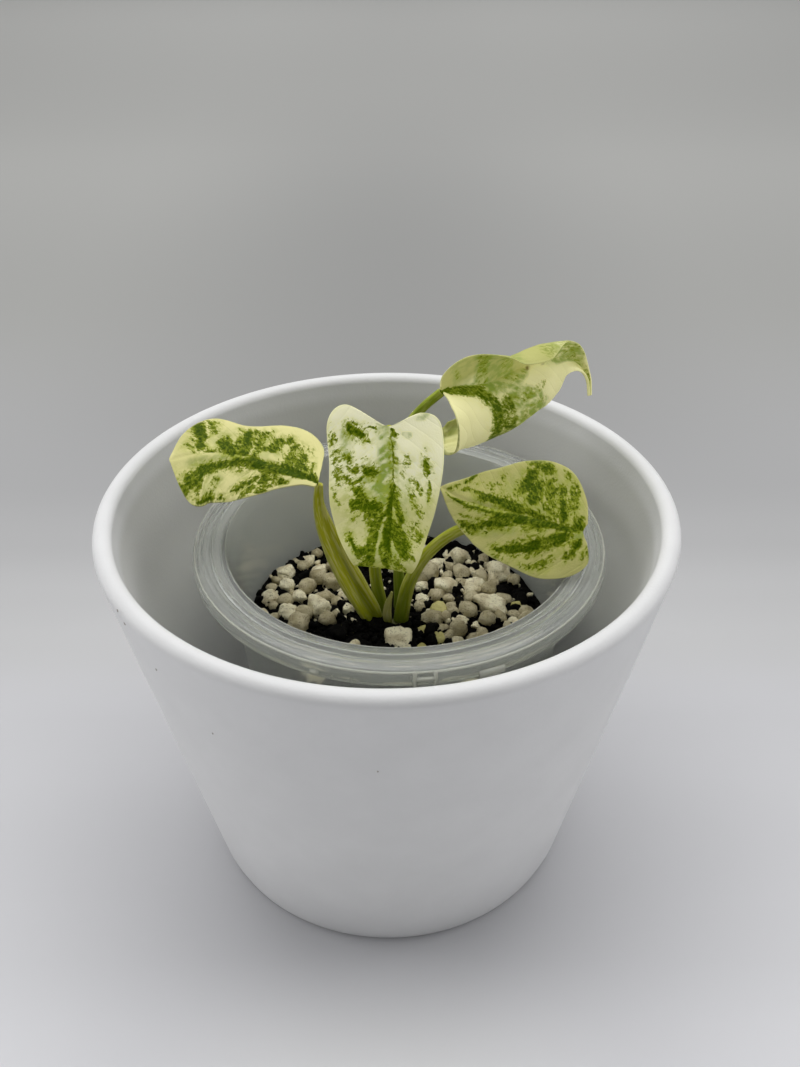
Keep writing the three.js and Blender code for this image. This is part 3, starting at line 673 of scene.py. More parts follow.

# %% [markdown]
# ## Where the leaves are green
# Variegation is patches of cells with and without green, so every leaf has a pattern of its own that no
# noise could repeat. Brush strokes give its large shapes. A stroke is a line on the blade from (u, v) to
# (u, v), in hundredths, with a brush radius in millimetres and an amount, and an amount of 0 wipes. The
# strokes only say how dense the green is. Its fine broken edge comes later, in the finish. The green
# strokes are brushed a second time with a wider brush, for the haze of scattered green cells round every
# patch.

# %% Brush strokes of green, each as (u, v, to u, to v, brush radius, amount)
GREEN = {
    "leaf_left": [
        (8, 2, 10, 30, 2.6, 1), (10, 30, 12, 50, 1.9, 0.95), (12, 50, 14, 60, 1, 0.9),
        (18, 50, 22, 68, 0.9, 0.75), (24, 66, 30, 76, 1.2, 0.85), (32, 78, 62, 87, 1.6, 0.8),
        (62, 87, 95, 90, 0.8, 0.6), (-10, 8, -12, 11, 1.1, 0.95), (-40, 15, -26, 14, 0.8, 0.65),
        (-18, 18, -18, 19, 0.8, 0.85), (-63, 20, -63, 23, 0.5, 0.5), (-42, 24, -15, 24, 1.4, 0.62),
        (-50, 30, -15, 30, 1.6, 0.62), (-62, 36, -55, 37, 1, 0.75), (-55, 40, -28, 43, 1.4, 0.72),
        (-30, 44, -30, 48, 1, 0.75), (-75, 50, -5, 50, 1, 0.6), (-78, 56, -45, 57, 0.7, 0.95),
        (-40, 56, -2, 57, 1.2, 0.75), (-48, 60, -15, 61, 0.8, 0.6), (-45, 66, -25, 64, 0.9, 0.5),
        (-30, 68, -3, 63, 1.5, 0.85), (-85, 72, -55, 71, 0.9, 0.55), (-92, 78, -45, 77, 1.1, 0.85),
        (-45, 79, -15, 79, 1, 0.85), (-55, 86, -25, 83, 0.7, 0.5), (-5, 70, -5, 82, 0.7, 0.4),
        (48, 29, 72, 27.5, 0.7, 0.95), (30, 35, 80, 34, 0.9, 0.5), (28, 40, 50, 38, 1.2, 0.65),
        (55, 39, 90, 38, 1.2, 0.72), (45, 44, 62, 47, 0.8, 0.75), (75, 44, 95, 49, 1.2, 0.65),
        (62, 50, 74, 54, 0.9, 0.75), (76, 56, 79, 59, 0.4, 0.6), (33, 54, 36, 58, 0.4, 0.5),
        (92, 64, 92, 67, 0.4, 0.7), (55, 70, 75, 72, 1.1, 0.35), (90, 72, 94, 82, 0.6, 0.9),
        (50, 79, 75, 83, 0.9, 0.6), (38, 70, 42, 76, 0.6, 0.5), (-15, 40, -15, 45, 1, 0),
        (-48, 36, -42, 36, 0.6, 0), (-40, 72.5, -22, 73, 0.6, 0)],
    "leaf_centre": [
        (-68, 21.5, -53, 21, 0.95, 1), (-45, 13.5, -34, 12, 0.5, 0.75), (-52, 24, -36, 22.5, 0.3, 0.55),
        (-42, 37, -32, 36, 0.75, 1), (-62, 43, -46, 39, 0.35, 0.8), (-75, 33, -70, 33, 0.7, 0.7),
        (-46, 32.5, -40, 32, 0.6, 0.35), (-90, 30, -85, 42, 1.2, 0.42), (-68, 36, -58, 37, 0.8, 0.6),
        (-75, 41, -68, 42, 0.7, 0.6), (-55, 46, -45, 48, 1, 0.75), (-62, 51, -20, 51, 1, 0.85),
        (-35, 55, -15, 58, 1.6, 0.7), (-68, 57, -62, 56, 0.4, 0.5), (-78, 65, -75, 69, 0.6, 0.95),
        (-30, 63, -45, 72, 1.6, 0.85), (-75, 71, -50, 69, 0.9, 0.75), (-85, 79, -45, 74, 1.2, 0.7),
        (-93, 47, -85, 52, 0.5, 0.4), (12, 7, 12, 14, 0.9, 0.85), (2, 12, 0, 40, 0.35, 0.8),
        (0, 42, -4, 55, 0.9, 0.9), (-5, 55, -2, 68, 1.5, 0.95), (-12, 68, 2, 78, 1.6, 0.75),
        (5, 46, 25, 56, 1, 0.8), (10, 60, 45, 68, 1.8, 0.85), (8, 63.5, 18, 63, 0.6, 1),
        (35, 68, 60, 71, 0.8, 0.7), (12, 72, 45, 77, 1.5, 0.55), (50, 76, 75, 80, 1, 0.4),
        (8, 30, 28, 32, 0.9, 0.45), (62, 35, 70, 39, 0.5, 0.8), (12, 36, 35, 40, 0.6, 0.3),
        (33, 44, 42, 46, 0.8, 0.55), (45, 41, 60, 45, 0.6, 0.5), (75, 43, 80, 47, 0.6, 0.6),
        (45, 48, 70, 54, 1, 0.35), (50, 60, 80, 63, 1.5, 0.4), (88, 61, 88, 62, 0.6, 0.5),
        (60, 68, 80, 72, 1.2, 0.3), (-50, 82, 30, 85, 2, 0.5), (-10, 55, -30, 72, 0.25, 0)],
    "leaf_right": [
        (-15, 5, -10, 13, 1.8, 0.8), (-10, 13, -12, 15, 0.8, 1), (-55, 6, -30, 10, 2, 0.5),
        (-28, 12, -25, 16, 1.5, 0.6), (-80, 22, -45, 22, 1.6, 0.58), (-88, 28, -85, 28, 0.7, 0.7),
        (-35, 19, -30, 21, 1, 0.5), (-38, 29, -12, 25.5, 0.9, 0.85), (-55, 31, -35, 35, 1.8, 0.62),
        (-85, 40, -90, 43, 1.4, 0.72), (-95, 46, -95, 47, 0.8, 0.6), (-65, 36, -50, 38, 1.4, 0.55),
        (-55, 43, -28, 45, 1.4, 0.8), (-75, 47, -45, 50, 1.2, 0.82), (-13, 31, -20, 38, 0.8, 0.6),
        (-2, 38, -8, 46, 0.8, 0.8), (-8, 50, -18, 60, 1.2, 0.9), (-18, 60, -24, 70, 1.3, 0.8),
        (-25, 70, -45, 81, 0.9, 0.6), (-50, 82, -35, 83, 0.8, 0.6), (-55, 62, -62, 76, 1, 0.4),
        (-42, 60, -50, 74, 0.7, 0.3), (-80, 62, -65, 60, 0.5, 0.5), (-95, 80, -70, 84, 1, 0.7),
        (-60, 90, -20, 93, 0.8, 0.7), (4, 12, 5, 35, 1, 0.85), (5, 35, 10, 50, 1.2, 0.95),
        (10, 50, 14, 60, 1.3, 0.95), (10, 60, 13, 72, 0.6, 0.9), (13, 72, 22, 85, 0.9, 0.9),
        (22, 85, 35, 90, 0.8, 0.6), (40, 12, 45, 17, 1.1, 0.95), (48, 17, 62, 23, 1, 0.75),
        (70, 13, 78, 14, 0.7, 0.6), (80, 9, 100, 6, 0.6, 0.75), (22, 23, 30, 28, 1.3, 1),
        (30, 30, 42, 37, 1.3, 0.75), (42, 39, 58, 45, 1.1, 1), (58, 46, 72, 52, 1, 0.95),
        (72, 53, 80, 58, 0.8, 0.7), (90, 55, 95, 58, 0.7, 0.5), (66, 32, 80, 38, 1, 0.5),
        (80, 38, 90, 45, 0.9, 0.45), (20, 43, 30, 48, 0.4, 0.6), (20, 54, 30, 60, 1, 0.85),
        (28, 60, 40, 66, 0.9, 0.9), (40, 66, 65, 70, 0.7, 0.75), (60, 70, 85, 75, 0.7, 0.85),
        (38, 72, 60, 78, 0.8, 0.4), (18, 20, 30, 20, 1.5, 0.5)],
    "leaf_curled": [
        (-5, 0, -1, 12, 2.2, 0.9), (-5, 10, -7, 34, 1.9, 0.7), (-10, 33, -20, 38, 1.6, 0.8),
        (-20, 38.5, -75, 38.5, 1.3, 0.8), (-22, 43, -80, 43.5, 1.5, 0.7), (-80, 44, -100, 50, 2, 0.9),
        (-10, 40, -6, 56, 1.3, 0.15), (-25, 47, -35, 60, 1.8, 0.3), (-48, 48, -80, 55, 1.8, 0.35),
        (-45, 50, -60, 60, 2, 0.25), (0, 37, 50, 34, 1.5, 0.4), (50, 34, 100, 30, 1.3, 0.4),
        (30, 23, 60, 21, 1, 0.3), (0, 49, 50, 46, 1.7, 0.22), (50, 46, 100, 40, 1.4, 0.25),
        (20, 62, 95, 58, 2.4, 0.25), (10, 70, 100, 68, 2.6, 0.28), (0, 80, 90, 78, 2.8, 0.3),
        (-40, 90, 60, 90, 2.4, 0.4)],
}

# %% Brush strokes of pale grey-green, where clear cells lie over green ones
PALE_GREEN = {
    "leaf_left": [
        (5, 45, 8, 68, 1.1, 0.7), (-35, 45, -35, 65, 4, 0.3), (10, 68, 20, 85, 1.5, 0.5),
        (55, 70, 80, 74, 2, 0.4)],
    "leaf_centre": [
        (-15, 3, -15, 15, 2.2, 0.7), (-12, 18, -12, 33, 1.5, 1), (-70, 25, -74, 32, 1.2, 0.65),
        (-25, 40, -15, 47, 2.6, 0.95), (-42, 42, -35, 46, 1.3, 0.6), (5, 8, 5, 35, 0.7, 0.7),
        (33, 18, 40, 20, 0.8, 0.65), (85, 15, 100, 15, 1.2, 0.55), (-45, 5, -25, 5, 0.8, 0.5),
        (0, 50, 0, 75, 5, 0.45), (-90, -2, -50, -4, 1, 0.35), (50, 0, 90, 3, 1, 0.35)],
    "leaf_right": [
        (10, 3, 12, 12, 3.4, 0.7), (15, 18, 20, 24, 1.8, 0.6), (0, 40, 0, 70, 3, 0.5),
        (-60, 20, -50, 50, 4, 0.3), (30, 55, 60, 70, 2, 0.4)],
    "leaf_curled": [
        (-4, 22, -4, 40, 2.2, 0.9), (-22, 48, -45, 55, 2.4, 0.95), (-45, 55, -70, 60, 2.4, 0.8),
        (-8, 42, -8, 52, 2, 0.8), (10, 25, 90, 22, 3, 0.35), (10, 42, 80, 38, 4, 0.6),
        (0, 75, 90, 70, 6, 0.8), (-75, 60, -95, 60, 3, 0.6), (0, 37, 100, 31, 2.2, 1),
        # Painted shade: the stroke along u -97 greys the inner side of the curl.
        (0, 48, 100, 43, 2.2, 0.75), (-97, 8, -97, 40, 2.5, 0.9), (-45, 50, -80, 56, 3.4, 0.9)],
}

# %% Brush strokes of olive, partly duller cream and partly painted shade, and of brown for scars and shade
OLIVE_AND_SHADE = {
    "leaf_left": [
        (-100, 85, 100, 95, 3, 0.35), (-40, 30, -40, 70, 5, 0.12)],
    "leaf_centre": [
        (-100, 98, 100, 98, 10, 1), (-100, 68, 100, 68, 9, 0.7)],
    "leaf_right": [
        (-100, 40, -20, 40, 22, 0.78), (60, 80, 100, 60, 12, 0.6), (100, 10, 90, 40, 4, 0.2)],
    "leaf_curled": [
        (35, 10, 90, 30, 9, 0.9), (35, 50, 90, 45, 8, 0.95), (-30, 95, 30, 95, 9, 0.65)],
}
BROWN_AND_SHADE = {
    "leaf_curled": [
        (-6, 56.5, -4, 57, 0.35, 0.9), (5, 58, 5, 60, 0.35, 0.9), (-10, 64, -10, 64.5, 0.3, 0.5),
        # Painted shade: the wide stroke along u -97 darkens the inner side of the curl; the others are
        # scars.
        (-93, 30, -93, 30.5, 0.35, 0.8), (-97, 8, -97, 40, 2, 0.4), (0, 98.5, 0, 100, 1.2, 0.9)],
}

# %% Brushing. A span holds the widths of a blade's halves and its length, in millimetres
USUAL_SPAN, SPANS = (13, 13, 39), {"leaf_curled": (30, 16, 56)}
HAZE_SPREAD = 1.3
HAZE_SHARES = {"leaf_left": 1.0, "leaf_centre": 0.85, "leaf_right": 1.0, "leaf_curled": 0.3}
SOFT_EDGE, SOFTER_BY = 0.8, 0.5


def brushed(name, strokes, u, v, spread=0.0):
    """How much colour the strokes leave at each point of a blade, from 0 to 1."""
    first, second, long = SPANS.get(name, USUAL_SPAN)

    def in_millimetres(u, v):
        return np.stack([np.where(u < 0, u * first, u * second), v * long], axis=-1)

    at = in_millimetres(u, v)
    shade = np.zeros_like(u)
    for *ends, brush, amount in strokes:
        u0, v0, u1, v1 = (value / 100 for value in ends)
        start = in_millimetres(u0, v0)
        way = in_millimetres(u1, v1) - start
        part = np.clip((at - start) @ way / (way @ way + 1e-9), 0, 1)
        away = np.linalg.norm(at - start - part[:, None] * way, axis=1)
        extra = spread if amount else 0.0
        soft = SOFT_EDGE + SOFTER_BY * brush + extra
        cover = np.clip((brush + extra + soft / 2 - away) / soft, 0, 1)
        cover = cover * cover * (3 - 2 * cover)
        shade = np.maximum(shade, amount * cover) if amount else shade * (1 - cover)
    return shade


# %% [markdown]
# The midrib is sunk in the upper face and stands out below, the side veins are faint grooves that sweep
# forward, and the blade swells a little between them and is never quite flat. That relief moves the points
# along the blade's own normal, so it shows in the outline and in the mesh itself too.

# %% Relief of a blade, in millimetres
VEIN_GAP, VEIN_SWEEP = 4.4, 0.9
RIB_DEPTH, VEIN_DEPTH, SWELLING, SWAY = 0.32, 0.03, 0.012, 0.22


def blade_relief(out, along, seed):
    rib = -RIB_DEPTH * np.exp(-(out / 0.75) ** 2)
    phase = (along - VEIN_SWEEP * out) / VEIN_GAP
    off_vein = np.abs(phase - np.round(phase)) * VEIN_GAP
    fade = np.clip(out / 2, 0, 1)
    veins = -VEIN_DEPTH * np.exp(-(off_vein / 0.4) ** 2) + SWELLING * np.cos(math.tau * (phase - 0.5))
    sway = SWAY * np.sin(0.31 * along + 0.25 * out + seed) * np.sin(0.22 * along - 0.3 * out + 2 * seed)
    return rib + fade * (veins + sway)


# %% Blade thickness: thick at the midrib, thin at the margin
BLADE_THICKNESS = 0.75
USUAL_SHARE, MORE_AT_RIB, LESS_AT_MARGIN, LEAST_SHARE = 0.55, 0.45, 0.28, 0.2


def thickness_share(out, u):
    near_rib = MORE_AT_RIB * np.exp(-(out / 1.1) ** 2)
    near_margin = LESS_AT_MARGIN * np.clip((np.abs(u) - 0.93) / 0.07, 0, 1)
    return np.clip(USUAL_SHARE + near_rib - near_margin, LEAST_SHARE, 1)


# %% [markdown]
# A blade starts as a flat grid from bmesh. Its corners become the (u, v) points above, and the UV map keeps
# each point's real distance out from the midrib and along it, so that the finish can follow the veins.
# Solidify gives the sheet its thickness, with a second material on the underside.

# %% Building a blade. Its slope at a point is measured a small share of the blade to each side of it
STROKES = {"green": GREEN, "pale_green": PALE_GREEN, "olive_and_shade": OLIVE_AND_SHADE, "brown": BROWN_AND_SHADE}
SMALL_SHARE = 0.004


def point_values(mesh, name, values):
    mesh.attributes.new(name, "FLOAT", "POINT").data.foreach_set("value", values.astype(np.float32))


def blade_way(leaf, u, v, du, dv):
    """The way from just before to just after each point of the blade."""
    after = leaf_surface(leaf, np.minimum(u + du, 1), np.minimum(v + dv, 1))[0]
    return after - leaf_surface(leaf, np.maximum(u - du, -1), np.maximum(v - dv, 0))[0]


def add_blade(name, seed, materials, columns=124, rows=164):
    leaf = LEAVES[name]
    bm = bmesh.new()
    bmesh.ops.create_grid(bm, x_segments=columns, y_segments=rows, size=1)
    bmesh.ops.reverse_faces(bm, faces=bm.faces)
    flat = corners_of(bm)
    u, v = flat[:, 0], (flat[:, 1] + 1) / 2
    points, out, along = leaf_surface(leaf, u, v)
    normal = np.cross(blade_way(leaf, u, v, 0, SMALL_SHARE), blade_way(leaf, u, v, SMALL_SHARE, 0))
    points += unit(normal, 1e-9) * blade_relief(out, along, seed)[:, None]
    place_corners(bm, points * MM)
    blade = add_piece(bm, name + "_blade", materials, [name])
    mesh = blade.data
    for kind, strokes in STROKES.items():
        point_values(mesh, kind, brushed(name, strokes.get(name, []), u, v))
    haze = brushed(name, GREEN[name], u, v, HAZE_SPREAD)
    point_values(mesh, "haze", haze * HAZE_SHARES[name])
    point_values(mesh, "margin", np.clip((np.abs(u) - 0.95) / 0.05, 0, 1))
    corner_of = np.zeros(len(mesh.loops), int)
    mesh.loops.foreach_get("vertex_index", corner_of)
    on_blade = np.stack([np.where(u < 0, -out, out), along], axis=1) * MM
    mesh.uv_layers.new(name="blade").data.foreach_set("uv", on_blade[corner_of].ravel())
    group = blade.vertex_groups.new(name="thickness")
    share = thickness_share(out, u)
    for i in range(len(share)):
        group.add([i], float(share[i]), "REPLACE")
    solid = blade.modifiers.new("thickness", "SOLIDIFY")
    solid.thickness = BLADE_THICKNESS * MM
    solid.offset = 0
    solid.vertex_group = "thickness"
    solid.material_offset = 1


# %% [markdown]
# ## Leaf finish
# The marbling group turns a density into patches with a broken edge: it is green wherever the density beats
# a mix of soft noise and random cells. The noise is stretched along the side veins, as the real patches
# are. The vein group works that direction out from the UV map. The hanging and the young leaf also glow a
# little in their own colour: painted light that stands for the light coming through the thin blade from
# behind and brightens faces turned away from the lamps.

# %% Group: coordinates that follow the side veins, and the veins themselves
ACROSS_VEINS, ALONG_VEINS = 0.743, 0.46
veins, inside, out = new_group("side veins", [("UV", "Vector", None)],
                               [("Vector", "Vector"), ("Line", "Float")])
vein_uv = node(veins, "SeparateXYZ", Vector=inside["UV"])
vein_out = maths(veins, "ABSOLUTE", vein_uv.outputs[0])
vein_across = maths(veins, "SUBTRACT", vein_uv.outputs[1], times(veins, vein_out, VEIN_SWEEP))
vein_side = times(veins, maths(veins, "SIGN", vein_uv.outputs[0]), 0.05)
vein_long = maths(veins, "MULTIPLY_ADD", vein_uv.outputs[1], VEIN_SWEEP, vein_out)
stretched = (times(veins, vein_across, ACROSS_VEINS), times(veins, vein_long, ALONG_VEINS), vein_side)
put(veins, out["Vector"], node(veins, "CombineXYZ", stretched).outputs[0])
vein_saw = maths(veins, "PINGPONG", vein_across, VEIN_GAP * MM / 2)
vein_line = ramp(veins, vein_saw, 0.0, 0.35 * MM, 1, 0)
vein_fade = ramp(veins, vein_out, 0.5 * MM, 2.5 * MM)
put(veins, out["Line"], times(veins, vein_line, vein_fade))

# %% Group: marbling, a mask that is 1 in green patches
marbling, inside, out = new_group(
    "marbling", [("Vector", "Vector", None), ("Density", "Float", 0.5), ("Softness", "Float", 0.06)],
    [("Mask", "Float"), ("Depth", "Float")])
marble_fine = node(marbling, "TexNoise", Vector=inside["Vector"], Scale=1 / (0.7 * MM), Detail=4.0,
                   Roughness=0.7, Distortion=0.3)
marble_wide = node(marbling, "TexNoise", Vector=inside["Vector"], Scale=1 / (2.4 * MM), Detail=2.0)
marble_cells = node(marbling, "TexVoronoi", Vector=inside["Vector"], Scale=1 / (0.42 * MM))
cell_luck = node(marbling, "SeparateColor", Color=marble_cells.outputs["Color"]).outputs[0]
layers = [(ramp(marbling, marble_fine.outputs[0], 0.3, 0.7, smooth=False), 0.6),
          (ramp(marbling, marble_wide.outputs[0], 0.3, 0.7, smooth=False), 0.22), (cell_luck, 0.18)]
level = 0.0
for value, weight in layers:
    level = maths(marbling, "MULTIPLY_ADD", value, weight, level)
ahead = maths(marbling, "SUBTRACT", inside["Density"], level)
soft = inside["Softness"]
marble_mask = node(marbling, "MapRange", (ahead, times(marbling, soft, -1.0), soft, 0.0, 1.0),
                   interpolation_type="SMOOTHSTEP").outputs[0]
put(marbling, out["Mask"], marble_mask)
put(marbling, out["Depth"], ramp(marbling, ahead, 0.0, 0.46, smooth=False))


# %% Leaf finish: upper face and underside share it, the underside is duller
DENSITY_FLOOR, DENSITY_GAIN, HAZE_DENSITY = 0.24, 0.74, 0.62
PAINTED = ("green", "pale_green", "olive_and_shade", "haze", "margin", "brown")
LEAF_TONES = dict(
    olive_and_shade=(0.46, 0.45, 0.13), cloud=(0.66, 0.64, 0.27), veil=(0.25, 0.33, 0.06), haze=(0.36, 0.41, 0.04),
    thin_green=(0.29, 0.34, 0.02), deep_green=(0.06, 0.105, 0.0), dark_cell=(0.028, 0.058, 0.0),
    margin=(0.66, 0.66, 0.28), scar_and_shade=(0.09, 0.05, 0.01), back=(0.42, 0.44, 0.18))


def leaf_material(name, cream_albedo, painted_glow, underside, crisp):
    """The glow is painted light: how strongly the blade shines in its own colour. Crisp is how sharp its
    marbling is.
    """
    roughness, gloss = (0.6, 0.04) if underside else (0.48, 0.05)
    material, tree, shader = new_material(name, Roughness=roughness, Specular_IOR_Level=gloss)
    painted = {key: attribute(tree, key) for key in PAINTED}
    place = place_of(tree)
    vein = use(tree, veins, UV=node(tree, "UVMap", uv_map="blade").outputs[0])
    by_vein = vein["Vector"]
    density = maths(tree, "MULTIPLY_ADD", painted["green"], DENSITY_GAIN, DENSITY_FLOOR)
    density = times(tree, ramp(tree, painted["green"], 0.0, 0.15), density)
    density = maths(tree, "MAXIMUM", density, times(tree, painted["haze"], HAZE_DENSITY))
    density = maths(tree, "SUBTRACT", density, times(tree, vein["Line"], 0.05))
    patch = use(tree, marbling, Vector=by_vein, Density=density, Softness=0.10 / crisp)
    # Olive is partly a duller cream and partly painted shade.
    cream = blend(tree, painted["olive_and_shade"], cream_albedo, LEAF_TONES["olive_and_shade"])
    cream = blend(tree, times(tree, cloudy(tree, place, 6.0, 3.0), 0.25), cream, LEAF_TONES["cloud"])
    mist = ramp(tree, cloudy(tree, by_vein, 1.6, 4.0), 0.2, 0.8, 0.35, 1.15)
    misty = blend(tree, times(tree, painted["pale_green"], mist, clamp=True), cream, LEAF_TONES["veil"])
    breath = ramp(tree, cloudy(tree, by_vein, 1.1, 4.0), 0.3, 0.75, 0.1, 0.85)
    misty = blend(tree, times(tree, painted["haze"], breath), misty, LEAF_TONES["haze"])
    green = blend(tree, patch["Depth"], LEAF_TONES["thin_green"], LEAF_TONES["deep_green"])
    cell = ramp(tree, cloudy(tree, by_vein, 0.5, 3.0), 0.5, 0.72)
    dark_cells = times(tree, cell, ramp(tree, patch["Depth"], 0.05, 0.35, 0.0, 0.75 * crisp))
    green = blend(tree, dark_cells, green, LEAF_TONES["dark_cell"])
    colour = blend(tree, patch["Mask"], misty, green)
    colour = blend(tree, times(tree, painted["margin"], 0.4), colour, LEAF_TONES["margin"])
    # Brown is scars, and inside the curl painted shade.
    colour = blend(tree, painted["brown"], colour, LEAF_TONES["scar_and_shade"])
    if underside:
        colour = blend(tree, 0.35, colour, LEAF_TONES["back"])
    put(tree, shader.inputs["Base Color"], colour)
    # Painted light: the blade glows in its own colour.
    put(tree, shader.inputs["Emission Color"], colour)
    shader.inputs["Emission Strength"].default_value = painted_glow
    relief = maths(tree, "SUBTRACT", cloudy(tree, by_vein, 0.28, 2.0), vein["Line"])
    bumped(tree, shader, relief, 0.03)
    return material


# %% The blades
def two_faces(name, cream_albedo, painted_glow, painted_glow_back, crisp=1.0):
    return [leaf_material(name + ", upper face", cream_albedo, painted_glow, False, crisp),
            leaf_material(name + ", underside", cream_albedo, painted_glow_back, True, crisp)]


# The hanging leaf's paler cream is partly its own colour and partly painted light; it and the young leaf
# have a painted glow.
lying = two_faces("lying leaf", (0.90, 0.85, 0.39), 0.0, 0.0)
hanging = two_faces("hanging leaf, painted light", (0.93, 0.91, 0.62), 0.28, 0.1)
young = two_faces("young leaf, painted glow", (0.86, 0.82, 0.43), 0.30, 0.15, crisp=0.4)
add_blade("leaf_left", 1, lying)
add_blade("leaf_centre", 2, hanging)
add_blade("leaf_right", 3, lying)
add_blade("leaf_curled", 4, young, columns=170, rows=190)

# %% [markdown]
# ## Leaf stalks
# Monstera stalks are round behind, channelled in front, and clasp the next stalk with a sheath at their
# base. A grid is rolled into a tube along the stalk's line: `x` goes round it and `y` along it. The seam is
# merged and both ends are filled, so each stalk is one closed solid. The left one, the oldest, has the
# broadest sheath and the yellowest skin. The younger ones are greener, and the newest one is the greenest.

# %% The stalks: points along the middle, widths and thicknesses there, and the way the wide side faces
STALKS = {
    "petiole_left": dict(
        points=[(-4, 5, 64.8), (-5.2, 4.8, 68), (-9.4, 4.6, 77.5), (-13.4, 4, 88), (-16.2, 2.8, 98),
                (-17.3, 1.6, 105.6), (-16.9, 0.2, 111.9)],
        widths=[5.2, 6.2, 7, 6.2, 4.7, 2.9, 2.1], depths=[3.2, 3.2, 2.8, 2.4, 2.1, 1.9, 1.9],
        flat=(0.35, -1, 0.35), channel=0.9),
    "petiole_centre": dict(
        points=[(-1.2, 7.8, 64.8), (-2.6, 8.2, 71), (-3.6, 8.8, 80), (-2, 9, 96), (-0.6, 7.4, 112),
                (0.3, 3.2, 123.4), (0.6, -0.4, 127.6), (0.7, -2.2, 129)],
        widths=[3.6, 3.5, 3.2, 2.8, 2.4, 2.2, 2, 2], depths=[3.2, 3.1, 2.9, 2.6, 2.3, 2.1, 2, 1.9],
        flat=(0, -1, 0.3), channel=0.25),
    "petiole_right": dict(
        points=[(3.4, 4.6, 64.8), (4, 4.2, 70), (5.7, 3.2, 79), (10.1, 1.6, 89.4), (18.2, -0.8, 98.7),
                (30, -4.4, 103.6), (41, -9, 105), (46.4, -11.2, 105)],
        widths=[4.2, 4, 3.7, 3.3, 3, 2.6, 2.3, 2.1], depths=[3.6, 3.6, 3.5, 3.3, 3, 2.5, 2.2, 2],
        flat=(-0.3, -1, 0.3), channel=0.2),
    "petiole_curled": dict(
        points=[(3, 9.8, 64.8), (3, 10.6, 72), (2.4, 13.2, 92), (3, 13.6, 112), (5.7, 12.8, 122),
                (9.2, 12.4, 127), (13.5, 12.5, 131)],
        widths=[3.2, 3.1, 2.7, 2.4, 2.4, 2.4, 2.3], depths=[3, 2.9, 2.6, 2.4, 2.3, 2.2, 2.1],
        flat=(0.2, -1, 0.3), channel=0.2),
    "cataphyll": dict(
        points=[(-0.2, 3.8, 64.8), (-0.4, 3.2, 68), (0, 2.8, 72), (1, 2.4, 76.4)],
        widths=[2.4, 2.6, 2, 0.6], depths=[1.2, 1.1, 0.9, 0.5], flat=(-0.2, -1, 0.2), channel=0.4),
}


# %% Stalk finish: yellow-green skin, fine streaks, darker and greener at the base, partly painted shade
def stalk_material(name, skin, streak, base):
    material, tree, shader = new_material(name, Roughness=0.42, Specular_IOR_Level=0.12)
    round_it = attribute(tree, "along_stalk", "Vector")
    up_it, edge = attribute(tree, "height_share"), attribute(tree, "wing_and_highlight")
    fibres = cloudy(tree, round_it, 0.5, 2.0)
    cloud = cloudy(tree, round_it, 2.2, 2.0)
    colour = blend(tree, ramp(tree, fibres, 0.3, 0.8), skin, streak)
    colour = blend(tree, times(tree, ramp(tree, cloud, 0.4, 0.85), 0.6), colour, base)
    # Darker and greener low down: partly the stalk's own colour, partly painted shade.
    colour = blend(tree, ramp(tree, up_it, 0.0, 0.4, 0.9, 0.0), colour, base)
    # Pale wings of the channel: partly the sheath's own edge, partly a painted highlight.
    colour = blend(tree, times(tree, edge, 0.85), colour, (0.62, 0.62, 0.2))
    put(tree, shader.inputs["Base Color"], colour)
    bumped(tree, shader, fibres, 0.05)
    return material


# %% Building a stalk
STREAK_STRETCH = 12


def add_stalk(name, material, around=32, steps=90):
    stalk = STALKS[name]
    bm = bmesh.new()
    bmesh.ops.create_grid(bm, x_segments=around, y_segments=steps, size=1)
    flat = corners_of(bm)
    angle, t = (flat[:, 0] + 1) * math.pi, (flat[:, 1] + 1) / 2
    middle = curve_point(stalk["points"], t)
    along = curve_way(stalk["points"], t, 0.001)
    side = unit(np.cross(along, np.array(stalk["flat"], float)))
    front = np.cross(side, along)
    knots = np.linspace(0, 1, len(stalk["points"]))
    wide, deep = np.interp(t, knots, stalk["widths"]) / 2, np.interp(t, knots, stalk["depths"]) / 2
    across, ahead = np.cos(angle), np.sin(angle)
    channel = stalk["channel"] * np.exp(-(across / 0.55) ** 2) * np.clip(ahead, 0, 1)
    points = middle + side * (across * wide)[:, None] + front * ((ahead - channel) * deep)[:, None]
    place_corners(bm, points * MM)
    along_stalk = bm.verts.layers.float_vector.new("along_stalk")
    height_share, wing_and_highlight = bm.verts.layers.float.new("height_share"), bm.verts.layers.float.new("wing_and_highlight")
    length = np.linalg.norm(np.diff(np.array(stalk["points"]), axis=0), axis=1).sum() / STREAK_STRETCH
    for i, corner in enumerate(bm.verts):
        corner[along_stalk] = Vector((across[i] * wide[i], ahead[i] * deep[i], t[i] * length)) * MM
        corner[height_share] = t[i]
        corner[wing_and_highlight] = max(abs(across[i]) - 0.8, 0) / 0.2 * stalk["channel"]
    bmesh.ops.remove_doubles(bm, verts=bm.verts, dist=MERGE_WITHIN)
    bmesh.ops.holes_fill(bm, edges=bm.edges, sides=0)
    bmesh.ops.recalc_face_normals(bm, faces=bm.faces)
    add_piece(bm, name + "_skin", [material], [name])


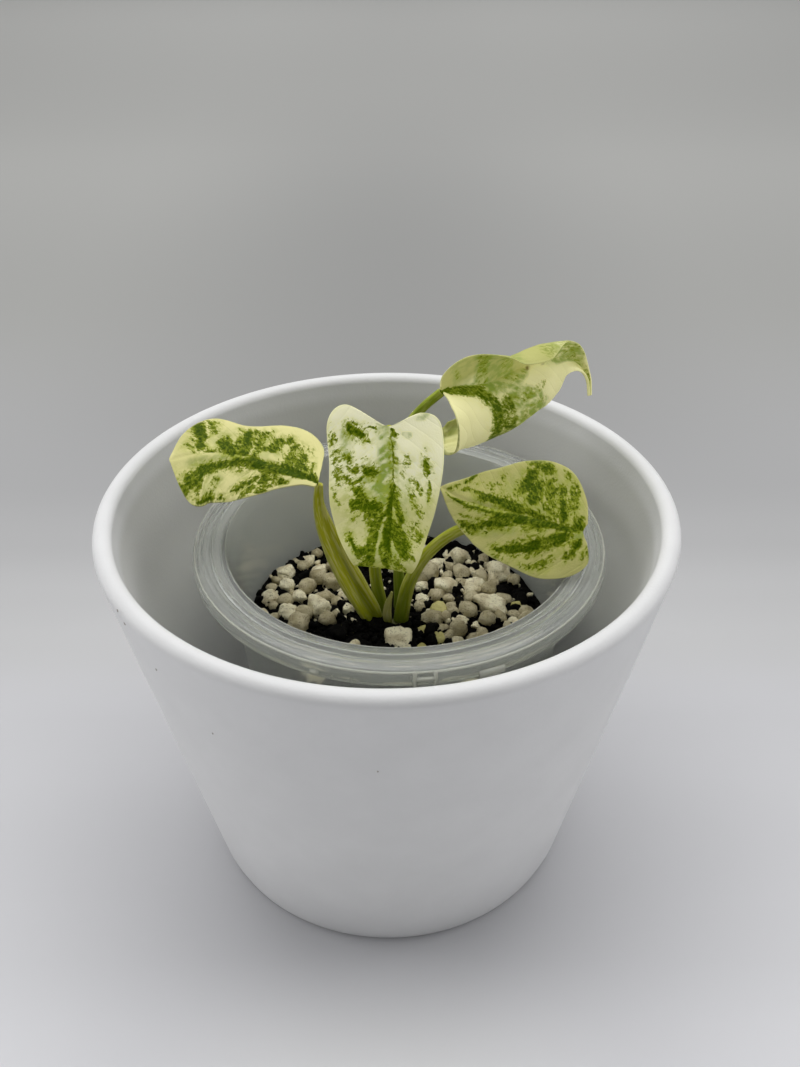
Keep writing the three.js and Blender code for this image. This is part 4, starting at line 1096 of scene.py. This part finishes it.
# %% The stalks
stalk_skin = stalk_material("stalk skin", (0.60, 0.60, 0.03), (0.80, 0.77, 0.22), (0.21, 0.25, 0.004))
sheath_skin = stalk_material("papery sheath", (0.44, 0.43, 0.12), (0.52, 0.50, 0.2), (0.26, 0.28, 0.04))
green_skin = stalk_material("greener stalk skin", (0.46, 0.50, 0.03), (0.62, 0.63, 0.14),
                            (0.14, 0.20, 0.004))
young_skin = stalk_material("young stalk skin", (0.27, 0.36, 0.02), (0.42, 0.48, 0.08), (0.12, 0.18, 0.004))
SKINS = {"petiole_left": stalk_skin, "petiole_curled": young_skin, "cataphyll": sheath_skin}
for stalk_name in STALKS:
    add_stalk(stalk_name, SKINS.get(stalk_name, green_skin))

# %% [markdown]
# ## Crown and roots
# The buried stem keeps its plain construction shape, because the mix hides it. It only needs a fitting
# skin: brownish green, dull and a little fibrous.

# %% Crown and roots: finish
def root_material():
    material, tree, shader = new_material("root skin", Roughness=0.75)
    place = place_of(tree)
    cloud = cloudy(tree, place, 3.0, 5.0)
    put(tree, shader.inputs["Base Color"], blend(tree, cloud, (0.20, 0.17, 0.06), (0.11, 0.13, 0.03)))
    bumped(tree, shader, cloud, 0.3)
    return material


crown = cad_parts["crown_and_roots"]
crown.data.materials.clear()
crown.data.materials.append(root_material())

# %% [markdown]
# ## The potting mix
# The mix is almost black: fine bark, charcoal and lava dust, with lighter grit pressed into it. One spun
# solid fills the cup, and its top is lifted and dropped by a few waves and by fine noise. Its finish is
# very dark and dull. The loose grains that give it its real look come next.

# %% The mix: height of its surface and finish
MIX_TOP, MIX_SLOPE_X, MIX_SLOPE_Y, MIX_LUMP = 65, -0.045, 0.03, 0.9
MIX_LOW, MIX_GAP, MIX_REACH = 3.0, 0.4, 40.5
MIX_STEPS, MIX_RINGS = 150, 44


def mix_height(x, y):
    lumps = math.sin(0.55 * x + 1.3) * math.cos(0.62 * y) + 0.6 * math.sin(1.1 * x + 0.9 * y)
    return MIX_TOP + MIX_SLOPE_X * x + MIX_SLOPE_Y * y + 0.5 * MIX_LUMP * lumps


def mix_material():
    material, tree, shader = new_material("dark mix", Roughness=0.9, Specular_IOR_Level=0.08)
    place = place_of(tree)
    crumbs = cloudy(tree, place, 1.1, 6.0)
    grit = use(tree, flecks, Vector=place, Size=1.5, Radius=0.3, Share=0.10)["Mask"]
    dark = blend(tree, crumbs, (0.0008, 0.0008, 0.0006), (0.008, 0.007, 0.005))
    speckled = blend(tree, times(tree, grit, 0.6), dark, (0.30, 0.26, 0.17))
    put(tree, shader.inputs["Base Color"], speckled)
    bumped(tree, shader, crumbs, 0.8)
    return material


# %% The mix: shape
def mix_bmesh():
    top = MIX_TOP - CUP_Z
    edge = cup_inner_radius(top - 2) - MIX_GAP
    profile = [(0, MIX_LOW), (CUP_BASE - CUP_WALL - 2, MIX_LOW)]
    profile += [(cup_inner_radius(h) - MIX_GAP, h) for h in (MIX_LOW + 2, 15, 30, 45, 54)]
    profile += [(edge * i / MIX_RINGS, top) for i in range(MIX_RINGS, -1, -1)]
    bm = turned(profile, MIX_STEPS, CUP_CENTRE)
    for corner in bm.verts:
        if corner.co.z > (MIX_TOP - 1) * MM:
            x, y = corner.co.x / MM, corner.co.y / MM
            crumbs = 0.55 * noise.noise(Vector((x, y, 0)) * 0.9) + 0.3 * noise.noise(Vector((x, y, 5)) * 2.1)
            corner.co.z = (mix_height(x, y) + crumbs) * MM
    return bm


add_piece(mix_bmesh(), "potting_mix_surface", [mix_material()], ["potting_mix"])

# %% [markdown]
# ## Stones in the mix
# Pumice breaks into blunt lumps. A direct way to such a shape is to cut a ball by a dozen soft planes: each
# direction of the ball is drawn in until it meets them, and a high power rounds the edges between. Noise
# then roughens the faces. Every stone takes its place and size from the box of its plain solid.

# %% A stone's shape. Bumps are pairs of how fine they are and how strong
BUMPS, BUMP_GAIN, SWELL = ((2.2, 1), (5, 0.5), (11, 0.35)), 1.6, 1.02


def stone_bmesh(low, high, seed, faces=13, sharpness=7, rough=0.05, detail=4):
    bm = bmesh.new()
    bmesh.ops.create_icosphere(bm, subdivisions=detail, radius=1)
    luck = np.random.default_rng(seed)
    normals = np.vstack([unit(luck.normal(size=(faces, 3))), np.eye(3), -np.eye(3)])
    reach = np.concatenate([luck.uniform(0.66, 1.0, faces), np.ones(6)])
    ways = np.array([corner.co.normalized() for corner in bm.verts])
    radius = (np.clip(ways @ normals.T / reach, 0, None) ** sharpness).sum(axis=1) ** (-1 / sharpness)
    offset = Vector(luck.uniform(-50, 50, 3))
    shape = np.zeros_like(ways)
    for i, way in enumerate(ways):
        spot = Vector(way)
        bumps = sum(strong * noise.noise(spot * fine + offset) for fine, strong in BUMPS)
        shape[i] = way * radius[i] * (1 + rough * bumps * BUMP_GAIN)
    shape -= (shape.min(axis=0) + shape.max(axis=0)) / 2
    shape /= np.abs(shape).max(axis=0)
    middle, half = (np.array(low) + np.array(high)) / 2, (np.array(high) - np.array(low)) / 2
    place_corners(bm, middle + shape * half * SWELL)
    return bm


# %% Finishes of the stones
def stone_material(name, pale, deep, pore, roughness=0.9, pores=0.55, gloss=0.2):
    material, tree, shader = new_material(name, Roughness=roughness, Specular_IOR_Level=gloss)
    place = place_of(tree)
    cloud = cloudy(tree, place, 3.5, 4.0)
    dust = cloudy(tree, place, 0.35, 5.0)
    holes = use(tree, flecks, Vector=place, Size=0.5, Radius=0.42, Share=pores)["Mask"]
    colour = blend(tree, ramp(tree, cloud, 0.25, 0.9), pale, deep)
    colour = blend(tree, times(tree, dust, 0.3), colour, deep)
    put(tree, shader.inputs["Base Color"], blend(tree, times(tree, holes, 0.5), colour, pore))
    bumped(tree, shader, maths(tree, "SUBTRACT", dust, holes), 0.16)
    return material


pumice = stone_material("pumice", (0.93, 0.88, 0.64), (0.66, 0.58, 0.38), (0.30, 0.24, 0.14))
zeolite = stone_material("zeolite", (0.62, 0.57, 0.24), (0.44, 0.40, 0.14), (0.26, 0.21, 0.07), 0.75, 0.2)
lava = stone_material("lava", (0.007, 0.0065, 0.0055), (0.002, 0.002, 0.002), (0.0005, 0.0005, 0.0005),
                      0.8, 0.4, 0.04)
STONE_LOOKS = {"pumice": dict(material=pumice, sharpness=6, rough=0.09),
               "zeolite": dict(material=zeolite, sharpness=12, rough=0.03),
               "lava": dict(material=lava, sharpness=6, rough=0.12)}

# %% The stones
stone_names = sorted(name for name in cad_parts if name.split("_")[0] in STONE_LOOKS)
for seed, stone_name in enumerate(stone_names):
    kind = stone_name.split("_")[0]
    look = STONE_LOOKS[kind]
    low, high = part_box(stone_name)
    stone = stone_bmesh(low, high, seed, sharpness=look["sharpness"], rough=look["rough"])
    add_piece(stone, stone_name.replace(kind, kind + "_stone"), [look["material"]], [stone_name])

# %% [markdown]
# ## Loose grains
# Thousands of grains lie between the stones: black lava and bark crumbs, and small chips of pumice. Each is
# one of a few ready-made pebbles of twenty or eighty faces, turned and stretched at random and dropped on
# the mix. On both sides of the plant lie heaps of larger pumice pebbles. Each of those is cut for itself,
# with eighty faces or, if it is large, 320, and keeps away from the stones and from the pebbles before it.
# All random numbers start from a fixed seed, so the heaps are the same every time.

# %% Scattering grains over the mix. Sizes are (smallest, largest, most common), in millimetres
STALK_FEET = [stalk["points"][0][:2] for stalk in STALKS.values()]
FREE_ROUND_STALK, GRAIN_SINK, PEBBLE_KINDS = 2.2, 0.25, 6


def somewhere(luck, middle_x, middle_y, half_wide, half_deep):
    """A random place, evenly spread over an ellipse."""
    way, out = luck.uniform(0, math.tau), math.sqrt(luck.random())
    return middle_x + half_wide * out * math.cos(way), middle_y + half_deep * out * math.sin(way)


def ready_pebble(seed, detail):
    pebble = stone_bmesh((-1, -1, -1), (1, 1, 1), seed, faces=8, sharpness=6, rough=0.1, detail=detail)
    return mesh_from(pebble, "pebble")


def add_grains(name, material, seed, count, sizes, detail, behind=-50):
    luck = random.Random(seed)
    pebbles = [ready_pebble(900 + kind, detail) for kind in range(PEBBLE_KINDS)]
    bm = bmesh.new()
    for _ in range(count):
        x, y = somewhere(luck, CUP_X, CUP_Y, MIX_REACH, MIX_REACH)
        size = luck.triangular(*sizes) / 2
        to_stalk = min(math.hypot(x - foot_x, y - foot_y) for foot_x, foot_y in STALK_FEET)
        if to_stalk < FREE_ROUND_STALK + size or y < behind:
            continue
        first = len(bm.verts)
        bm.from_mesh(luck.choice(pebbles))
        bm.verts.ensure_lookup_table()
        turn = Matrix.Rotation(luck.uniform(0, math.tau), 3, "Z")
        turn = turn @ Matrix.Rotation(luck.uniform(0, math.tau), 3, "X")
        stretch = Vector((luck.uniform(0.7, 1.2), luck.uniform(0.7, 1.2), luck.uniform(0.6, 1.0))) * size
        height = mix_height(x, y) + size * (1 - 2 * GRAIN_SINK) + luck.uniform(-0.3, 0.4)
        place = Vector((x, y, height))
        for corner in bm.verts[first:]:
            corner.co = (place + turn @ Vector(a * b for a, b in zip(corner.co, stretch))) * MM
    for pebble in pebbles:
        bpy.data.meshes.remove(pebble)
    add_piece(bm, name, [material])


# %% Heaps of pebbles: middle x, y, half width, half depth and tries. A pebble's size here is its radius
HEAPS = [(-25.0, 16.0, 14.0, 17.0, 1200), (25.0, 14.0, 18.0, 20.0, 1800)]
HEAP_SIZES, LARGE_FROM, CLOSEST, STALK_ROOM = (1.3, 4.0, 2.4), 3, 0.74, 1.6


def taken_places():
    """Places that pebbles keep away from, as (x, y, radius)."""
    taken = []
    for stone_name in stone_names:
        low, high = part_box(stone_name)
        taken.append(((low[0] + high[0]) / 2 / MM, (low[1] + high[1]) / 2 / MM, (high[0] - low[0]) / 2 / MM))
    return taken + [(x, y, STALK_ROOM) for x, y in STALK_FEET]


def add_heaps(material, seed=5):
    luck = random.Random(seed)
    taken = taken_places()
    bm = bmesh.new()
    made = 0
    for *heap, tries in HEAPS:
        for _ in range(tries):
            x, y = somewhere(luck, *heap)
            size = luck.triangular(*HEAP_SIZES)
            if math.hypot(x - CUP_X, y - CUP_Y) > MIX_REACH - size:
                continue
            if any(math.hypot(x - a, y - b) < CLOSEST * (size + c) for a, b, c in taken):
                continue
            taken.append((x, y, size))
            middle = Vector((x, y, mix_height(x, y) + size * luck.uniform(0.25, 0.75)))
            half = Vector([size * luck.uniform(*share) for share in ((0.85, 1.1), (0.85, 1.1), (0.7, 0.9))])
            detail = 3 if size > LARGE_FROM else 2
            pebble = stone_bmesh((middle - half) * MM, (middle + half) * MM, 300 + made, sharpness=4,
                                 rough=0.13, detail=detail)
            mesh = mesh_from(pebble, "pebble")
            bm.from_mesh(mesh)
            bpy.data.meshes.remove(mesh)
            made += 1
    print("pebbles in the heaps:", made)
    add_piece(bm, "pumice_heaps", [material])


# %% The grains
# The heaps wear a darker copy of the pumice finish: painted shade for pebbles in the shade of leaves and
# cup.
add_heaps(stone_material("shaded pumice", (0.60, 0.54, 0.36), (0.36, 0.31, 0.18), (0.16, 0.12, 0.07)))
add_grains("black_grains", lava, 11, 3200, (0.7, 2.6, 1.2), 1)
add_grains("black_lumps", lava, 12, 170, (1.8, 4.2, 2.6), 2)
add_grains("pumice_chips", pumice, 13, 420, (0.6, 2.6, 1.2), 2, behind=3)
add_grains("pumice_dust", pumice, 14, 60, (0.5, 1.6, 0.7), 1)
